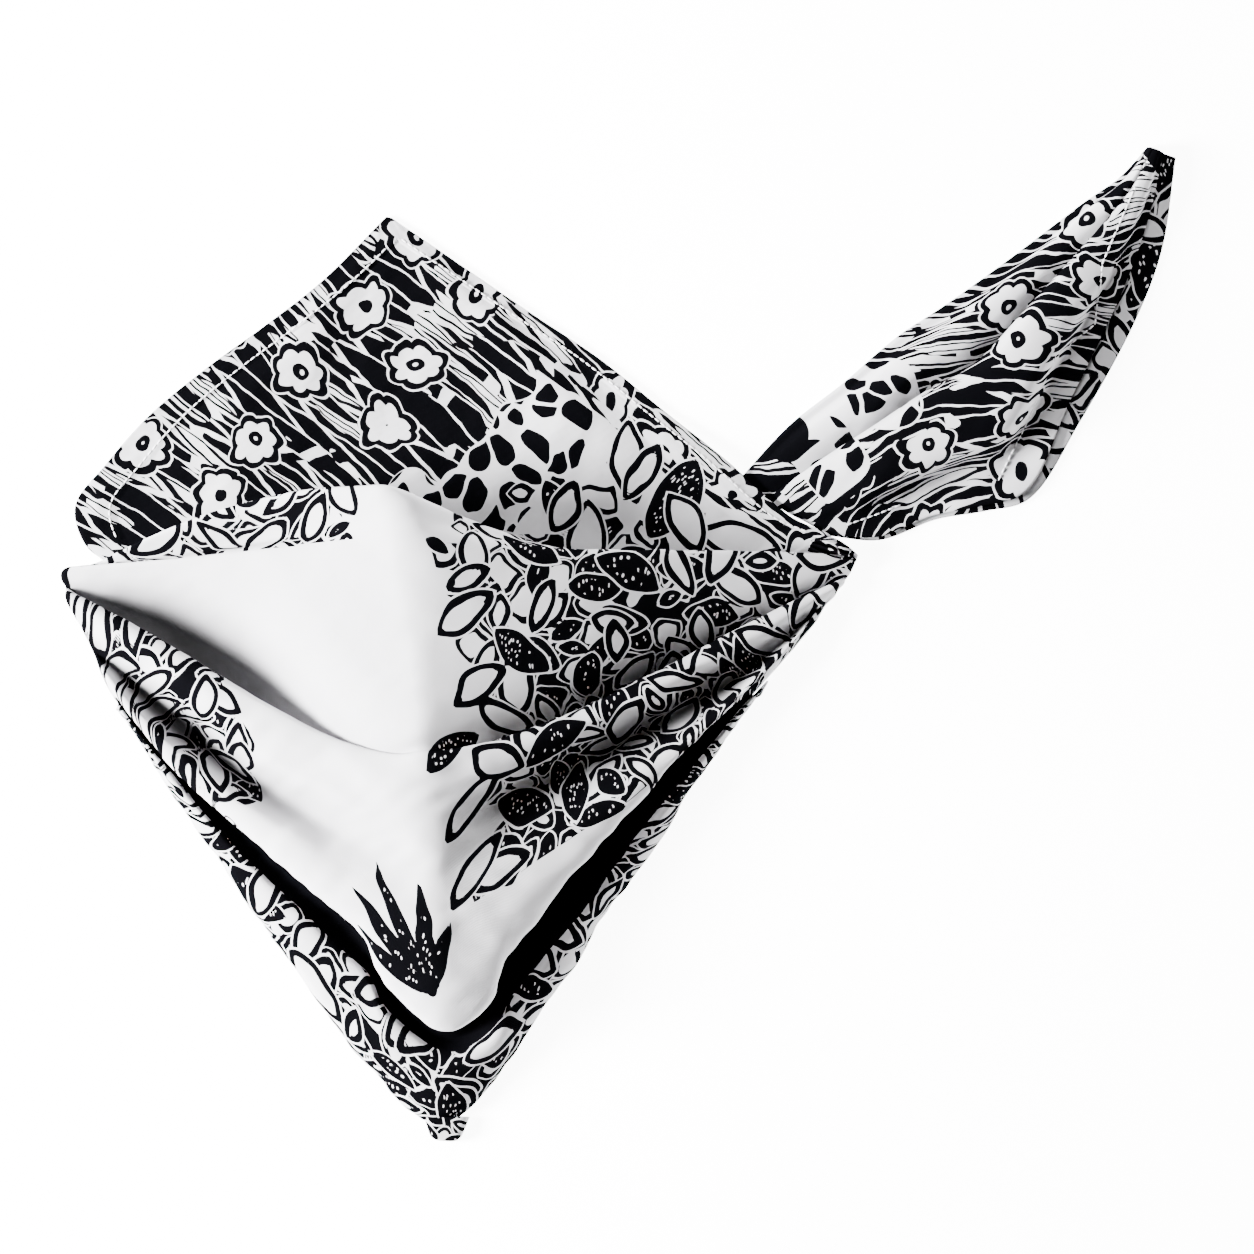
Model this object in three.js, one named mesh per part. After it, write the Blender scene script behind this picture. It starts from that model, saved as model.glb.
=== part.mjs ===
// Head wrap: one square printed cloth, folded to a pointed cowl and laid flat.
// Millimetres, +Z up. +X runs towards the tie tail, +Y towards the pointed back flap.
// The mouth for the head is the hollow between the front drape and the back panel, open towards +Y.

import * as THREE from "three";

// Cloth
const CLOTH = 1.2;          // modelled wall of the cotton cloth
const FLOOR = 0;            // the surface that the wrap lies on
const GAP = 0.3;            // clearance between neighbouring layers
const SIDE_ROLL = 1.4;      // how far the side of a fold rolls outwards on its way down
const FOOT = 0.8;           // middle height of a cloth edge that rests on the surface

// Hems
const HEM_LEFT = 14;        // turned hem along the left edge of the flap
const HEM_RIGHT = 8;        // turned hem along the right edge of the flap
const HEM_EXTRA = 0.7;      // extra thickness of a turned hem
const HEM_STEP = 0.8;       // width over which the hem thickness is reached

// Flap
const FLAP_LIFT = 3.8;      // lift of the flap where it lies over the root of the tail
const FLAP_LIFT_REACH = 26; // how far into the flap that lift fades out
const FLAP_WAVE = 2.2;      // height of the soft waves of the flap

// Front drape. One row for each fold line, from the inside of the neckline down to the rim.
// Each station is [x, y, z]: left end, middle of the left half, ridge, middle of the right half, right end.
const FOLDS = [
  { fold: "facing_end", steps: 3, stations: [[-186, 26, 2.3], [-137.5, 43.5, 10], [-79.5, 51, 34], [-8, 29, 9], [77, 29.5, 2.3]] },
  { fold: "inner_crest", steps: 3, stations: [[-191, 28, 5], [-139.5, 49.5, 24], [-81, 56, 50], [-8, 31.5, 13], [79, 30, 3.5]] },
  { fold: "inner_dip", steps: 3, stations: [[-196.5, 27.5, 5], [-139.5, 36, 17], [-78.5, 46.5, 52], [-7.5, 32, 20], [82, 30.5, 5]] },
  { fold: "neckline", steps: 4, stations: [[-202, 27, 8], [-139.5, 32, 25], [-76.5, 36, 53], [-0.5, 34, 28], [83.5, 31, 7]] },
  { fold: "upper_belly", steps: 4, stations: [[-203, 26, 7], [-141.5, 13.5, 25], [-72.5, -2.5, 50], [6.5, 14, 28], [82.5, 28, 7]] },
  { fold: "upper_valley", steps: 3, stations: [[-203, 23.5, 4], [-142.5, -10, 7], [-71, -37, 41], [6.5, -10, 10], [80.5, 24.5, 4]] },
  { fold: "middle_crest", steps: 4, stations: [[-201.5, 18.5, 9], [-142.5, -16.5, 21], [-70, -45.5, 42], [7.5, -17, 22], [76.5, 19.5, 8]] },
  { fold: "middle_valley", steps: 3, stations: [[-192, -3.5, 4], [-136, -45.5, 13], [-68.5, -75.5, 37], [0, -44.5, 13], [61.5, 0.5, 4]] },
  { fold: "lower_crest", steps: 4, stations: [[-188.5, -10, 8], [-135, -64.5, 18], [-67, -105, 34], [-3.5, -61.5, 19], [54, -11.5, 8]] },
  { fold: "lower_lip", steps: 3, blunt: 3.5, stations: [[-159, -52, 7], [-113, -88.5, 16], [-65, -142, 27], [-10, -91, 16], [39, -35.5, 7]] },
  { fold: "deep_valley", steps: 3, blunt: 3.5, stations: [[-157.5, -56, 3.2], [-114, -93.5, 4.5], [-65, -142, 7], [-9, -96.5, 4.5], [38, -39, 3.2]] },
  { fold: "rim_crest", steps: 3, stations: [[-159, -59.5, 6], [-117.5, -102.5, 10], [-64, -152, 13], [-11.5, -104, 10], [36, -43.5, 6]] },
  { fold: "rim_side", steps: 2, blunt: 8, stations: [[-160, -59.5, 4], [-119.5, -117.5, 5], [-64, -168, 6], [-8, -103.5, 5], [36.5, -43.5, 4]] },
  { fold: "rim_foot", steps: 0, blunt: 8, stations: [[-160, -59.5, 0.8], [-120.5, -120.5, 0.8], [-64, -172, 0.8], [-7, -105, 0.8], [37, -44, 0.8]] },
];
const HALF_COLUMNS = 16;    // lattice columns from the side of the drape to its ridge
const ROLL_COLUMNS = 3;     // lattice columns down each rolled side
const LEFT_OUT = [-0.886, -0.464];
const RIGHT_OUT = [0.83, -0.56];

// Back panel. One row for each section from the top corner of the flap to the tip.
// left and right are the edges, lift says how much of the flap lift the section takes.
const PANEL = [
  { left: [-86, 155.5], right: [-84, 155], lift: 0, wave: 0 },
  { left: [-109.5, 132], right: [-59, 138], lift: 0, wave: 0.3 },
  { left: [-132, 114.5], right: [-32, 119.5], lift: 0, wave: 0.8 },
  { left: [-152, 100], right: [-8, 103.5], lift: 0, wave: 1 },
  { left: [-172.5, 83], right: [15.5, 84.5], lift: 0.2, wave: 1 },
  { left: [-188.5, 65], right: [37.5, 67], lift: 1, wave: 1 },
  { left: [-199.5, 50], right: [61.5, 46], lift: 1, wave: 0.6 },
  { left: [-196, 36], right: [76.5, 38], lift: 1, wave: 0.2 },
  { left: [-182.6, 23.4], right: [66, 28.5], lift: 0, wave: 0 },
  { left: [-180.8, -14], right: [54.6, -5], lift: 0, wave: 0 },
  { left: [-152.6, -58], right: [34, -38], lift: 0, wave: 0 },
  { left: [-116, -114], right: [-10.8, -100.2], lift: 0, wave: 0 },
  { left: [-90, -149], right: [-37.6, -138.6], lift: 0, wave: 0 },
  { left: [-68.5, -167], right: [-60, -166.8], lift: 0, wave: 0 },
];
const PANEL_STEPS = 2;      // lattice rows for each section
const PANEL_COLUMNS = 12;   // lattice columns across, beside the hem columns
const FLAP_SECTIONS = 7;    // sections of the panel that carry hems

// Tie tail. One row for each section from its root under the flap to its tip.
// fold is the folded upper edge, edge is the open lower edge of the under layer.
// hem is where the upper layer ends and lobe, valley and crest are its heights.
const TAIL = [
  { fold: [42, 58], edge: [76, 39], hem: 0.97, lobe: 2.4, valley: 2.4, crest: 2.4 },
  { fold: [61.5, 79], edge: [94, 37.5], hem: 0.97, lobe: 5, valley: 3.6, crest: 6.5 },
  { fold: [80.5, 94], edge: [114.5, 45], hem: 0.97, lobe: 8, valley: 4.6, crest: 9.5 },
  { fold: [101, 111.5], edge: [132, 48], hem: 0.97, lobe: 9.5, valley: 5, crest: 12 },
  { fold: [117, 122], edge: [148.5, 52.5], hem: 0.96, lobe: 10, valley: 5, crest: 13 },
  { fold: [141.5, 139.5], edge: [167, 80.5], hem: 0.82, lobe: 9, valley: 5, crest: 12 },
  { fold: [168.5, 160], edge: [187.5, 118], hem: 0.74, lobe: 8, valley: 5, crest: 10 },
  { fold: [182, 169.5], edge: [197, 143.5], hem: 0.62, lobe: 7, valley: 5, crest: 8 },
  { fold: [192, 180.5], edge: [202, 177], hem: 0.5, lobe: 5, valley: 4.5, crest: 5 },
];
const TAIL_STEPS = 3;       // lattice rows for each section
const TAIL_COLUMNS = 20;    // lattice columns from the under edge round the fold to the hem

// Gather at the right corner of the neckline
const GATHER = { centre: [86, 37.4], length: 15, width: 8, base: 4.3, height: 4.6, pleats: 4, turn: -12 };
const GATHER_COLUMNS = 20;
const GATHER_ROWS = 5;

// Turned-under cloth at the tip
const TUCK = { centre: [-64.2, -177.4], length: 17, width: 9, height: 4.6, turn: -2 };

// Colours
const COTTON_WHITE = "#e9e6ee";
const COTTON_PRINTED = "#8d8b90";
const COTTON_DARK = "#3a393c";

function lerp(a, b, share) {
  return a + (b - a) * share;
}

function smooth(share) {
  const s = Math.min(1, Math.max(0, share));
  return s * s * (3 - 2 * s);
}

// A value that passes through end, middle and ridge without overshoot.
function rise(end, middle, ridge, share) {
  const first = (middle - end) * 2;
  const second = (ridge - middle) * 2;
  const bend = first * second > 0 ? (2 * first * second) / (first + second) : 0;
  const lower = share < 0.5;
  const t = lower ? share * 2 : share * 2 - 1;
  const from = lower ? end : middle;
  const to = lower ? middle : ridge;
  const startSlope = (lower ? first : bend) * 0.5;
  const endSlope = (lower ? bend : second) * 0.5;
  const t2 = t * t;
  const t3 = t2 * t;
  return from * (2 * t3 - 3 * t2 + 1) + startSlope * (t3 - 2 * t2 + t)
    + to * (3 * t2 - 2 * t3) + endSlope * (t3 - t2);
}

// A plan position on the bow through end, middle and ridge.
function bow(end, middle, ridge, share) {
  const pull = 2 * middle - (end + ridge) / 2;
  const rest = 1 - share;
  return rest * rest * end + 2 * rest * share * pull + share * share * ridge;
}

// One half of a fold line, share 0 at the side and 1 at the ridge. blunt widens it close to the ridge.
function halfFold(end, middle, ridge, share, blunt) {
  const near = smooth((share - 0.65) / 0.35);
  const widen = 4 * near * (1 - near) * blunt * Math.sign(end[0] - ridge[0]);
  return new THREE.Vector3(
    bow(end[0], middle[0], ridge[0], share) + widen,
    bow(end[1], middle[1], ridge[1], share),
    rise(end[2], middle[2], ridge[2], share),
  );
}

// Columns down the rolled side of a fold, from the surface up to the end of the fold line.
function rolledSide(end, out) {
  const points = [];
  for (let i = ROLL_COLUMNS; i >= 1; i -= 1) {
    const turn = (i / ROLL_COLUMNS) * Math.PI / 2;
    const reach = SIDE_ROLL * Math.sin(turn);
    const height = FOOT + (end[2] - FOOT) * Math.cos(turn);
    points.push(new THREE.Vector3(end[0] + out[0] * reach, end[1] + out[1] * reach, height));
  }
  return points;
}

// The whole fold line, from the left foot over the ridge to the right foot.
function foldLine({ stations, blunt = 0 }) {
  const [left, leftMiddle, ridge, rightMiddle, right] = stations;
  const line = rolledSide(left, LEFT_OUT);
  for (let i = 0; i < HALF_COLUMNS; i += 1) {
    line.push(halfFold(left, leftMiddle, ridge, i / HALF_COLUMNS, blunt));
  }
  for (let i = HALF_COLUMNS; i >= 0; i -= 1) {
    line.push(halfFold(right, rightMiddle, ridge, i / HALF_COLUMNS, blunt));
  }
  return line.concat(rolledSide(right, RIGHT_OUT).reverse());
}

// Lattice rows between key lines, on a centripetal curve through them column by column.
function rowsBetween(lines, steps) {
  const rows = [];
  const curves = lines[0].map((unused, column) => lines.map((line) => line[column]));
  for (let k = 0; k < lines.length - 1; k += 1) {
    for (let i = 0; i < steps[k]; i += 1) {
      rows.push(curves.map((points) => centripetal(points, k, i / steps[k])));
    }
  }
  rows.push(lines[lines.length - 1]);
  return rows;
}

// Centripetal Catmull-Rom through points, between k and k + 1.
function centripetal(points, k, share) {
  const p1 = points[k];
  const p2 = points[k + 1];
  const p0 = points[k - 1] || p1.clone().multiplyScalar(2).sub(p2);
  const p3 = points[k + 2] || p2.clone().multiplyScalar(2).sub(p1);
  const t1 = Math.max(0.05, Math.sqrt(p0.distanceTo(p1)));
  const t2 = t1 + Math.max(0.05, Math.sqrt(p1.distanceTo(p2)));
  const t3 = t2 + Math.max(0.05, Math.sqrt(p2.distanceTo(p3)));
  const t = lerp(t1, t2, share);
  const mix = (a, b, ta, tb) => a.clone().lerp(b, (t - ta) / (tb - ta));
  const a1 = mix(p0, p1, 0, t1);
  const a2 = mix(p1, p2, t1, t2);
  const a3 = mix(p2, p3, t2, t3);
  return mix(mix(a1, a2, 0, t2), mix(a2, a3, t1, t3), t1, t2);
}

// Normals of a lattice from its neighbours along both directions.
function latticeNormals(grid) {
  const last = grid.length - 1;
  const end = grid[0].length - 1;
  return grid.map((row, r) => row.map((unused, c) => {
    const along = grid[Math.min(last, r + 1)][c].clone().sub(grid[Math.max(0, r - 1)][c]);
    const across = row[Math.min(end, c + 1)].clone().sub(row[Math.max(0, c - 1)]);
    return across.cross(along).normalize();
  }));
}

// A closed cloth solid: the lattice offset to both sides, with its edges joined.
// The normals point to the upper side where rows run towards +Y or columns towards +X.
function clothSolid(grid, upper, lower, flip = false) {
  const normals = latticeNormals(grid);
  const rows = grid.length;
  const columns = grid[0].length;
  const positions = [];
  const place = (side) => grid.forEach((row, r) => row.forEach((point, c) => {
    const sign = flip ? -1 : 1;
    const reach = side > 0 ? upper(r, c) : -lower(r, c);
    positions.push(...point.clone().addScaledVector(normals[r][c], reach * sign).toArray());
  }));
  place(1);
  place(-1);
  const under = rows * columns;
  const index = [];
  const quad = (a, b, c, d) => index.push(a, b, c, a, c, d);
  for (let r = 0; r < rows - 1; r += 1) {
    for (let c = 0; c < columns - 1; c += 1) {
      const a = r * columns + c;
      quad(a, a + 1, a + 1 + columns, a + columns);
      quad(under + a, under + a + columns, under + a + 1 + columns, under + a + 1);
    }
  }
  for (let c = 0; c < columns - 1; c += 1) {
    const far = (rows - 1) * columns + c;
    quad(c + 1, c, under + c, under + c + 1);
    quad(far, far + 1, under + far + 1, under + far);
  }
  for (let r = 0; r < rows - 1; r += 1) {
    const near = r * columns;
    const far = near + columns - 1;
    quad(near, near + columns, under + near + columns, under + near);
    quad(far + columns, far, under + far, under + far + columns);
  }
  if (flip) {
    for (let i = 0; i < index.length; i += 3) {
      [index[i + 1], index[i + 2]] = [index[i + 2], index[i + 1]];
    }
  }
  return bufferFrom(positions, index);
}

function bufferFrom(positions, index) {
  const geometry = new THREE.BufferGeometry();
  geometry.setAttribute("position", new THREE.Float32BufferAttribute(positions, 3));
  geometry.setIndex(index);
  geometry.computeVertexNormals();
  return geometry;
}

function frontDrape() {
  const lines = FOLDS.map(foldLine);
  const steps = FOLDS.map((row) => row.steps);
  const grid = rowsBetween(lines, steps);
  const half = () => CLOTH / 2;
  return clothSolid(grid, half, half, true);
}

// Shares across the panel, with close columns where a hem steps up at both edges.
function panelShares(width) {
  const left = Math.min(HEM_LEFT / width, 0.3);
  const right = 1 - Math.min(HEM_RIGHT / width, 0.2);
  const step = Math.min(HEM_STEP / width, 0.04);
  const shares = [0, left - step, left];
  for (let i = 1; i < PANEL_COLUMNS; i += 1) {
    shares.push(lerp(left, right, i / PANEL_COLUMNS));
  }
  return shares.concat([right, right + step, 1]);
}

// Height of the underside of the panel at a share across it.
function panelHeight(row, share, width) {
  const fromRight = (1 - share) * width;
  const lift = FLAP_LIFT * row.lift * smooth(1.6 * (1 - fromRight / FLAP_LIFT_REACH)) * smooth((share - 0.5) * 2.5);
  const wave = FLAP_WAVE * row.wave * Math.max(0, Math.sin(share * Math.PI * 3.2 - 0.6)) ** 2;
  return FLOOR + Math.max(lift, wave * smooth(share * 6) * smooth((1 - share) * 6));
}

function backPanel() {
  const edge = (side) => PANEL.map((row) => new THREE.Vector3(row[side][0], row[side][1], row.lift));
  const left = edge("left");
  const right = edge("right");
  const grid = [];
  for (let k = 0; k < PANEL.length - 1; k += 1) {
    for (let i = 0; i < PANEL_STEPS; i += 1) {
      grid.push(panelRow(left, right, k, i / PANEL_STEPS));
    }
  }
  grid.push(panelRow(left, right, PANEL.length - 2, 1));
  const hemRows = FLAP_SECTIONS * PANEL_STEPS;
  const lastColumn = grid[0].length - 1;
  const upper = (r, c) => {
    const onHem = r <= hemRows && (c <= 1 || c >= lastColumn - 1);
    return CLOTH + (onHem ? HEM_EXTRA : 0);
  };
  return clothSolid(grid, upper, () => 0, true);
}

function panelRow(left, right, k, share) {
  const a = centripetal(left, k, share);
  const b = centripetal(right, k, share);
  const width = a.distanceTo(b);
  const from = PANEL[k];
  const to = PANEL[k + 1];
  const row = { lift: lerp(from.lift, to.lift, share), wave: lerp(from.wave, to.wave, share) };
  return panelShares(width).map((s) => {
    return new THREE.Vector3(lerp(a.x, b.x, s), lerp(a.y, b.y, s), panelHeight(row, s, width));
  });
}

// Cross-section of the tail as [share from fold to edge, height] stations.
function tailSection(row) {
  const under = CLOTH / 2 + 0.08;
  const top = 1.5 * CLOTH + GAP + 0.2;
  const middle = (under + top) / 2;
  const at = (share) => share * row.hem;
  return [
    [1, under], [0.75, under], [0.5, under], [0.25, under], [0.05, under],
    [0.012, under + 0.3], [0, middle], [0.012, top - 0.2], [0.05, top + 0.3],
    [at(0.17), lerp(top, row.lobe, 0.85)], [at(0.32), row.lobe], [at(0.46), row.valley],
    [at(0.56), row.crest], [at(0.72), lerp(top, row.crest, 0.85)], [at(0.9), top + 0.6], [at(1), top],
  ];
}

function tailLine(row) {
  const stations = tailSection(row).map(([share, height]) => new THREE.Vector3(
    lerp(row.fold[0], row.edge[0], share),
    lerp(row.fold[1], row.edge[1], share),
    height,
  ));
  const spans = stations.length - 1;
  const line = [];
  for (let i = 0; i <= TAIL_COLUMNS; i += 1) {
    const place = (i / TAIL_COLUMNS) * spans;
    const k = Math.min(spans - 1, Math.floor(place));
    line.push(centripetal(stations, k, place - k));
  }
  return line;
}

function tieTail() {
  const lines = TAIL.map(tailLine);
  const steps = TAIL.map(() => TAIL_STEPS);
  const grid = rowsBetween(lines, steps);
  const half = () => CLOTH / 2;
  return clothSolid(grid, half, half);
}

// A short fan of pleats, closed below by a flat base.
function cornerGather() {
  const rows = [];
  for (let r = 0; r <= GATHER_ROWS; r += 1) {
    const along = r / GATHER_ROWS;
    const width = GATHER.width * (0.45 + 0.55 * Math.sin(Math.PI * (0.15 + 0.7 * along)));
    const row = [];
    for (let c = 0; c <= GATHER_COLUMNS; c += 1) {
      const across = (c / GATHER_COLUMNS) * 2 - 1;
      const round = Math.sqrt(Math.max(0, 1 - across * across));
      const pleat = 0.72 + 0.28 * Math.cos(across * Math.PI * GATHER.pleats);
      const height = GATHER.height * round * pleat * (0.55 + 0.45 * Math.sin(Math.PI * along));
      row.push(new THREE.Vector3((along - 0.5) * GATHER.length, across * width / 2, GATHER.base + height));
    }
    rows.push(row);
  }
  return loftedRows(rows, GATHER.base - 0.4);
}

// A closed solid between rows of points and a flat base at the given height.
function loftedRows(rows, base) {
  const columns = rows[0].length;
  const positions = [];
  rows.forEach((row) => row.forEach((p) => positions.push(p.x, p.y, p.z)));
  rows.forEach((row) => row.forEach((p) => positions.push(p.x, p.y, base)));
  const under = rows.length * columns;
  const index = [];
  const quad = (a, b, c, d) => index.push(a, b, c, a, c, d);
  for (let r = 0; r < rows.length - 1; r += 1) {
    for (let c = 0; c < columns - 1; c += 1) {
      const a = r * columns + c;
      quad(a, a + columns, a + columns + 1, a + 1);
      quad(under + a, under + a + 1, under + a + columns + 1, under + a + columns);
    }
  }
  for (let c = 0; c < columns - 1; c += 1) {
    const far = (rows.length - 1) * columns + c;
    quad(c, c + 1, under + c + 1, under + c);
    quad(far + 1, far, under + far, under + far + 1);
  }
  for (let r = 0; r < rows.length - 1; r += 1) {
    const near = r * columns;
    const far = near + columns - 1;
    quad(near + columns, near, under + near, under + near + columns);
    quad(far, far + columns, under + far + columns, under + far);
  }
  return bufferFrom(positions, index);
}

// The tip of the cloth turned under into a short blunt roll.
function tipTuck() {
  const rows = [];
  for (let r = 0; r <= 6; r += 1) {
    const across = (r / 6) * 2 - 1;
    const round = Math.sqrt(Math.max(0, 1 - across * across * 0.9));
    const row = [];
    for (let c = 0; c <= 12; c += 1) {
      const along = (c / 12) * 2 - 1;
      const end = Math.sqrt(Math.max(0, 1 - along ** 6));
      const height = 0.5 + (TUCK.height - 0.5) * round * end;
      row.push(new THREE.Vector3(along * TUCK.length / 2, -across * TUCK.width / 2, height));
    }
    rows.push(row);
  }
  return loftedRows(rows, FLOOR);
}

function piece(name, geometry, colour) {
  const material = new THREE.MeshStandardMaterial({ color: colour, roughness: 0.9, metalness: 0 });
  const mesh = new THREE.Mesh(geometry, material);
  mesh.name = name;
  return mesh;
}

const group = new THREE.Group();
group.add(piece("back_panel", backPanel(), COTTON_PRINTED));
group.add(piece("front_drape", frontDrape(), COTTON_WHITE));
group.add(piece("tie_tail", tieTail(), COTTON_PRINTED));

const gather = piece("corner_gather", cornerGather(), COTTON_DARK);
gather.position.set(GATHER.centre[0], GATHER.centre[1], 0);
gather.rotation.z = THREE.MathUtils.degToRad(GATHER.turn);
group.add(gather);

const tuck = piece("tip_tuck", tipTuck(), COTTON_DARK);
tuck.position.set(TUCK.centre[0], TUCK.centre[1], 0);
tuck.rotation.z = THREE.MathUtils.degToRad(TUCK.turn);
group.add(tuck);

export default group;
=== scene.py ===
"""A printed cotton head wrap, folded to a pointed cowl and laid flat on a pale surface.

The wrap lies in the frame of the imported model: +X runs to the tie tail, +Y to the pointed flap, +Z up.
Tables of places and heights are in millimetres, as on a pattern, and MM turns them into metres.
"""

import logging
import math
from dataclasses import dataclass
from enum import Enum

import bmesh
import bpy
import numpy as np
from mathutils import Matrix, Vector


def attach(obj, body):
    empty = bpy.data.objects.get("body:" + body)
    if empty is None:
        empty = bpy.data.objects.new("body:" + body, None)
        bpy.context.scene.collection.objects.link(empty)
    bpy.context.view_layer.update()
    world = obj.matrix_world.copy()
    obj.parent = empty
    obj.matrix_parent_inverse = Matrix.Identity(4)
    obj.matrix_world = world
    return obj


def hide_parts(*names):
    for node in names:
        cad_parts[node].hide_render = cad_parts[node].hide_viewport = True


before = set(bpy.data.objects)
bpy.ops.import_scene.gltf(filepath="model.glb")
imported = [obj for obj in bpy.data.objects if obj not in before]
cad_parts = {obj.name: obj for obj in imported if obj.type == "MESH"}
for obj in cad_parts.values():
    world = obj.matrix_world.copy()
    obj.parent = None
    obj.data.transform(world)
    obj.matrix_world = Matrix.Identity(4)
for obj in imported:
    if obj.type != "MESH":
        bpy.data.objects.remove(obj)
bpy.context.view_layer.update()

Array = np.ndarray
Piece = bpy.types.Object
Material = bpy.types.Material
Mesh = bpy.types.Mesh

# CLOTH is the cloth's thickness, FAR a distance at which no motif shows, both in millimetres
MM = 0.001
CLOTH = 0.9
FAR = 99.0
# WAVES is the number of cosines in a ripple, LEAST_KNOT keeps key lines that meet apart on a curve
WAVES = 28
LEAST_KNOT = 0.05
LOG = logging.getLogger("head_wrap")


class Held(Enum):
    """How a region of the cloth is held."""

    LAID = "laid"
    FOLDED = "folded"
    GATHERED = "gathered"


class Side(Enum):
    """A half of the front drape."""

    LEFT = -1
    RIGHT = 1


# Curves


def soft_step(share: Array) -> Array:
    """Eases 0 to 1: 3 s squared minus 2 s cubed, with s held to 0..1."""
    s = np.clip(share, 0.0, 1.0)
    return s * s * (3.0 - 2.0 * s)


def along(stations: Array, share: Array) -> Array:
    """Values on the plainest curve through evenly spaced stations, by Lagrange's formula."""
    knots = np.linspace(0.0, 1.0, len(stations))
    total = np.zeros_like(share)
    for number, knot in enumerate(knots):
        others = np.delete(knots, number)
        weight = np.prod([(share - other) / (knot - other) for other in others], axis=0)
        total = total + stations[number] * weight
    return total


def climb(heights: Array, share: Array) -> Array:
    """Heights through evenly spaced stations that never overshoot them.

    Cubic Hermite pieces, whose slope at a station is the harmonic mean of the slopes on its sides.
    """
    spans = len(heights) - 1
    slope = np.diff(heights)
    both = slope[:-1] * slope[1:]
    mean = np.where(both > 0, 2 * both / np.where(both > 0, slope[:-1] + slope[1:], 1.0), 0.0)
    bend = np.concatenate([slope[:1], mean, slope[-1:]])
    at = np.clip(share * spans, 0, spans - 1e-9)
    k = at.astype(int)
    t = at - k
    t2, t3 = t * t, t * t * t
    ends = heights[k] * (2 * t3 - 3 * t2 + 1) + heights[k + 1] * (3 * t2 - 2 * t3)
    return ends + bend[k] * (t3 - 2 * t2 + t) + bend[k + 1] * (t3 - t2)


def through(lines: Array, steps: list[int]) -> Array:
    """Rows on a centripetal Catmull-Rom curve through key lines, column by column.

    Args:
        lines: key lines, as an array of lines x columns x 3.
        steps: how many rows each stretch between two key lines gets.

    Returns:
        All rows, from the first key line to the last, as rows x columns x 3.
    """
    padded = np.concatenate([[2 * lines[0] - lines[1]], lines, [2 * lines[-1] - lines[-2]]])
    rows = []
    for k, count in enumerate(steps):
        p0, p1, p2, p3 = padded[k : k + 4]
        chords = [np.linalg.norm(b - a, axis=-1) for a, b in ((p0, p1), (p1, p2), (p2, p3))]
        gaps = [np.maximum(LEAST_KNOT, np.sqrt(chord)) for chord in chords]
        t1, t2, t3 = np.cumsum(gaps, axis=0)[..., None]
        for share in np.arange(count) / count:
            t = t1 + (t2 - t1) * share
            a1 = p0 + (p1 - p0) * t / t1
            a2 = p1 + (p2 - p1) * (t - t1) / (t2 - t1)
            a3 = p2 + (p3 - p2) * (t - t2) / (t3 - t2)
            b1 = a1 + (a2 - a1) * t / t2
            b2 = a2 + (a3 - a2) * (t - t1) / (t3 - t1)
            rows.append(b1 + (b2 - b1) * (t - t1) / (t2 - t1))
    rows.append(lines[-1])
    return np.array(rows)


def fold_numbers(steps: list[int]) -> Array:
    """The running number of each row: whole at a key line, and a share more for each step past it."""
    return np.concatenate([k + np.arange(count) / count for k, count in enumerate(steps)] + [[len(steps)]])


def run_length(points: Array) -> Array:
    """The length from the first point to each point of a line, or of each line in an array of them."""
    step = np.linalg.norm(np.diff(points, axis=-2), axis=-1)
    return np.concatenate([np.zeros_like(step[..., :1]), np.cumsum(step, axis=-1)], axis=-1)


def turned(x: Array, y: Array, degrees: float) -> tuple[Array, Array]:
    """Coordinates on axes that are turned by an angle: x cos + y sin, and y cos - x sin."""
    angle = math.radians(degrees)
    return x * math.cos(angle) + y * math.sin(angle), y * math.cos(angle) - x * math.sin(angle)


def ripples(x: Array, y: Array, wave: float, seed: int, stretch: float = 1.0, turn: float = 0.0) -> Array:
    """A soft random field of about unit height: the sum of seeded cosines near one wavelength.

    Args:
        x, y: places, in any unit.
        wave: mean wavelength in that unit.
        seed: picks the cosines.
        stretch: how much longer the waves are along the turned x axis.
        turn: angle of that axis, in degrees.
    """
    rng = np.random.default_rng(seed)
    ahead, across = turned(x, y, turn)
    ahead = ahead / stretch
    field_sum = np.zeros_like(x, dtype=float)
    for _ in range(WAVES):
        heading = rng.uniform(0, 2 * math.pi)
        rate = 2 * math.pi / (wave * rng.uniform(0.6, 1.7))
        phase = rng.uniform(0, 2 * math.pi)
        field_sum += np.cos(rate * (ahead * math.cos(heading) + across * math.sin(heading)) + phase)
    return field_sum / math.sqrt(WAVES / 2)


def grid_normals(grid: Array) -> Array:
    """Unit normals of a grid: the cross product of its steps along rows and columns."""
    normal = np.cross(np.gradient(grid, axis=0), np.gradient(grid, axis=1))
    return normal / np.maximum(np.linalg.norm(normal, axis=-1, keepdims=True), 1e-9)


def upward_normals(grid: Array) -> Array:
    """Unit normals of a grid, turned over where they would point down."""
    normal = grid_normals(grid)
    return normal * np.sign(normal[..., 2:])


def smooth_rows(grid: Array, weight: Array, rounds: int, axis: int) -> Array:
    """Rounds a grid along one axis: each point moves towards the mean of its two neighbours by its weight."""
    result = grid.copy()
    for _ in range(rounds):
        mean = (np.roll(result, 1, axis) + np.roll(result, -1, axis)) / 2
        moved = result + (mean - result) * weight[..., None]
        keep = [slice(None)] * 3
        keep[axis] = slice(1, -1)
        result[tuple(keep)] = moved[tuple(keep)]
    return result


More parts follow.
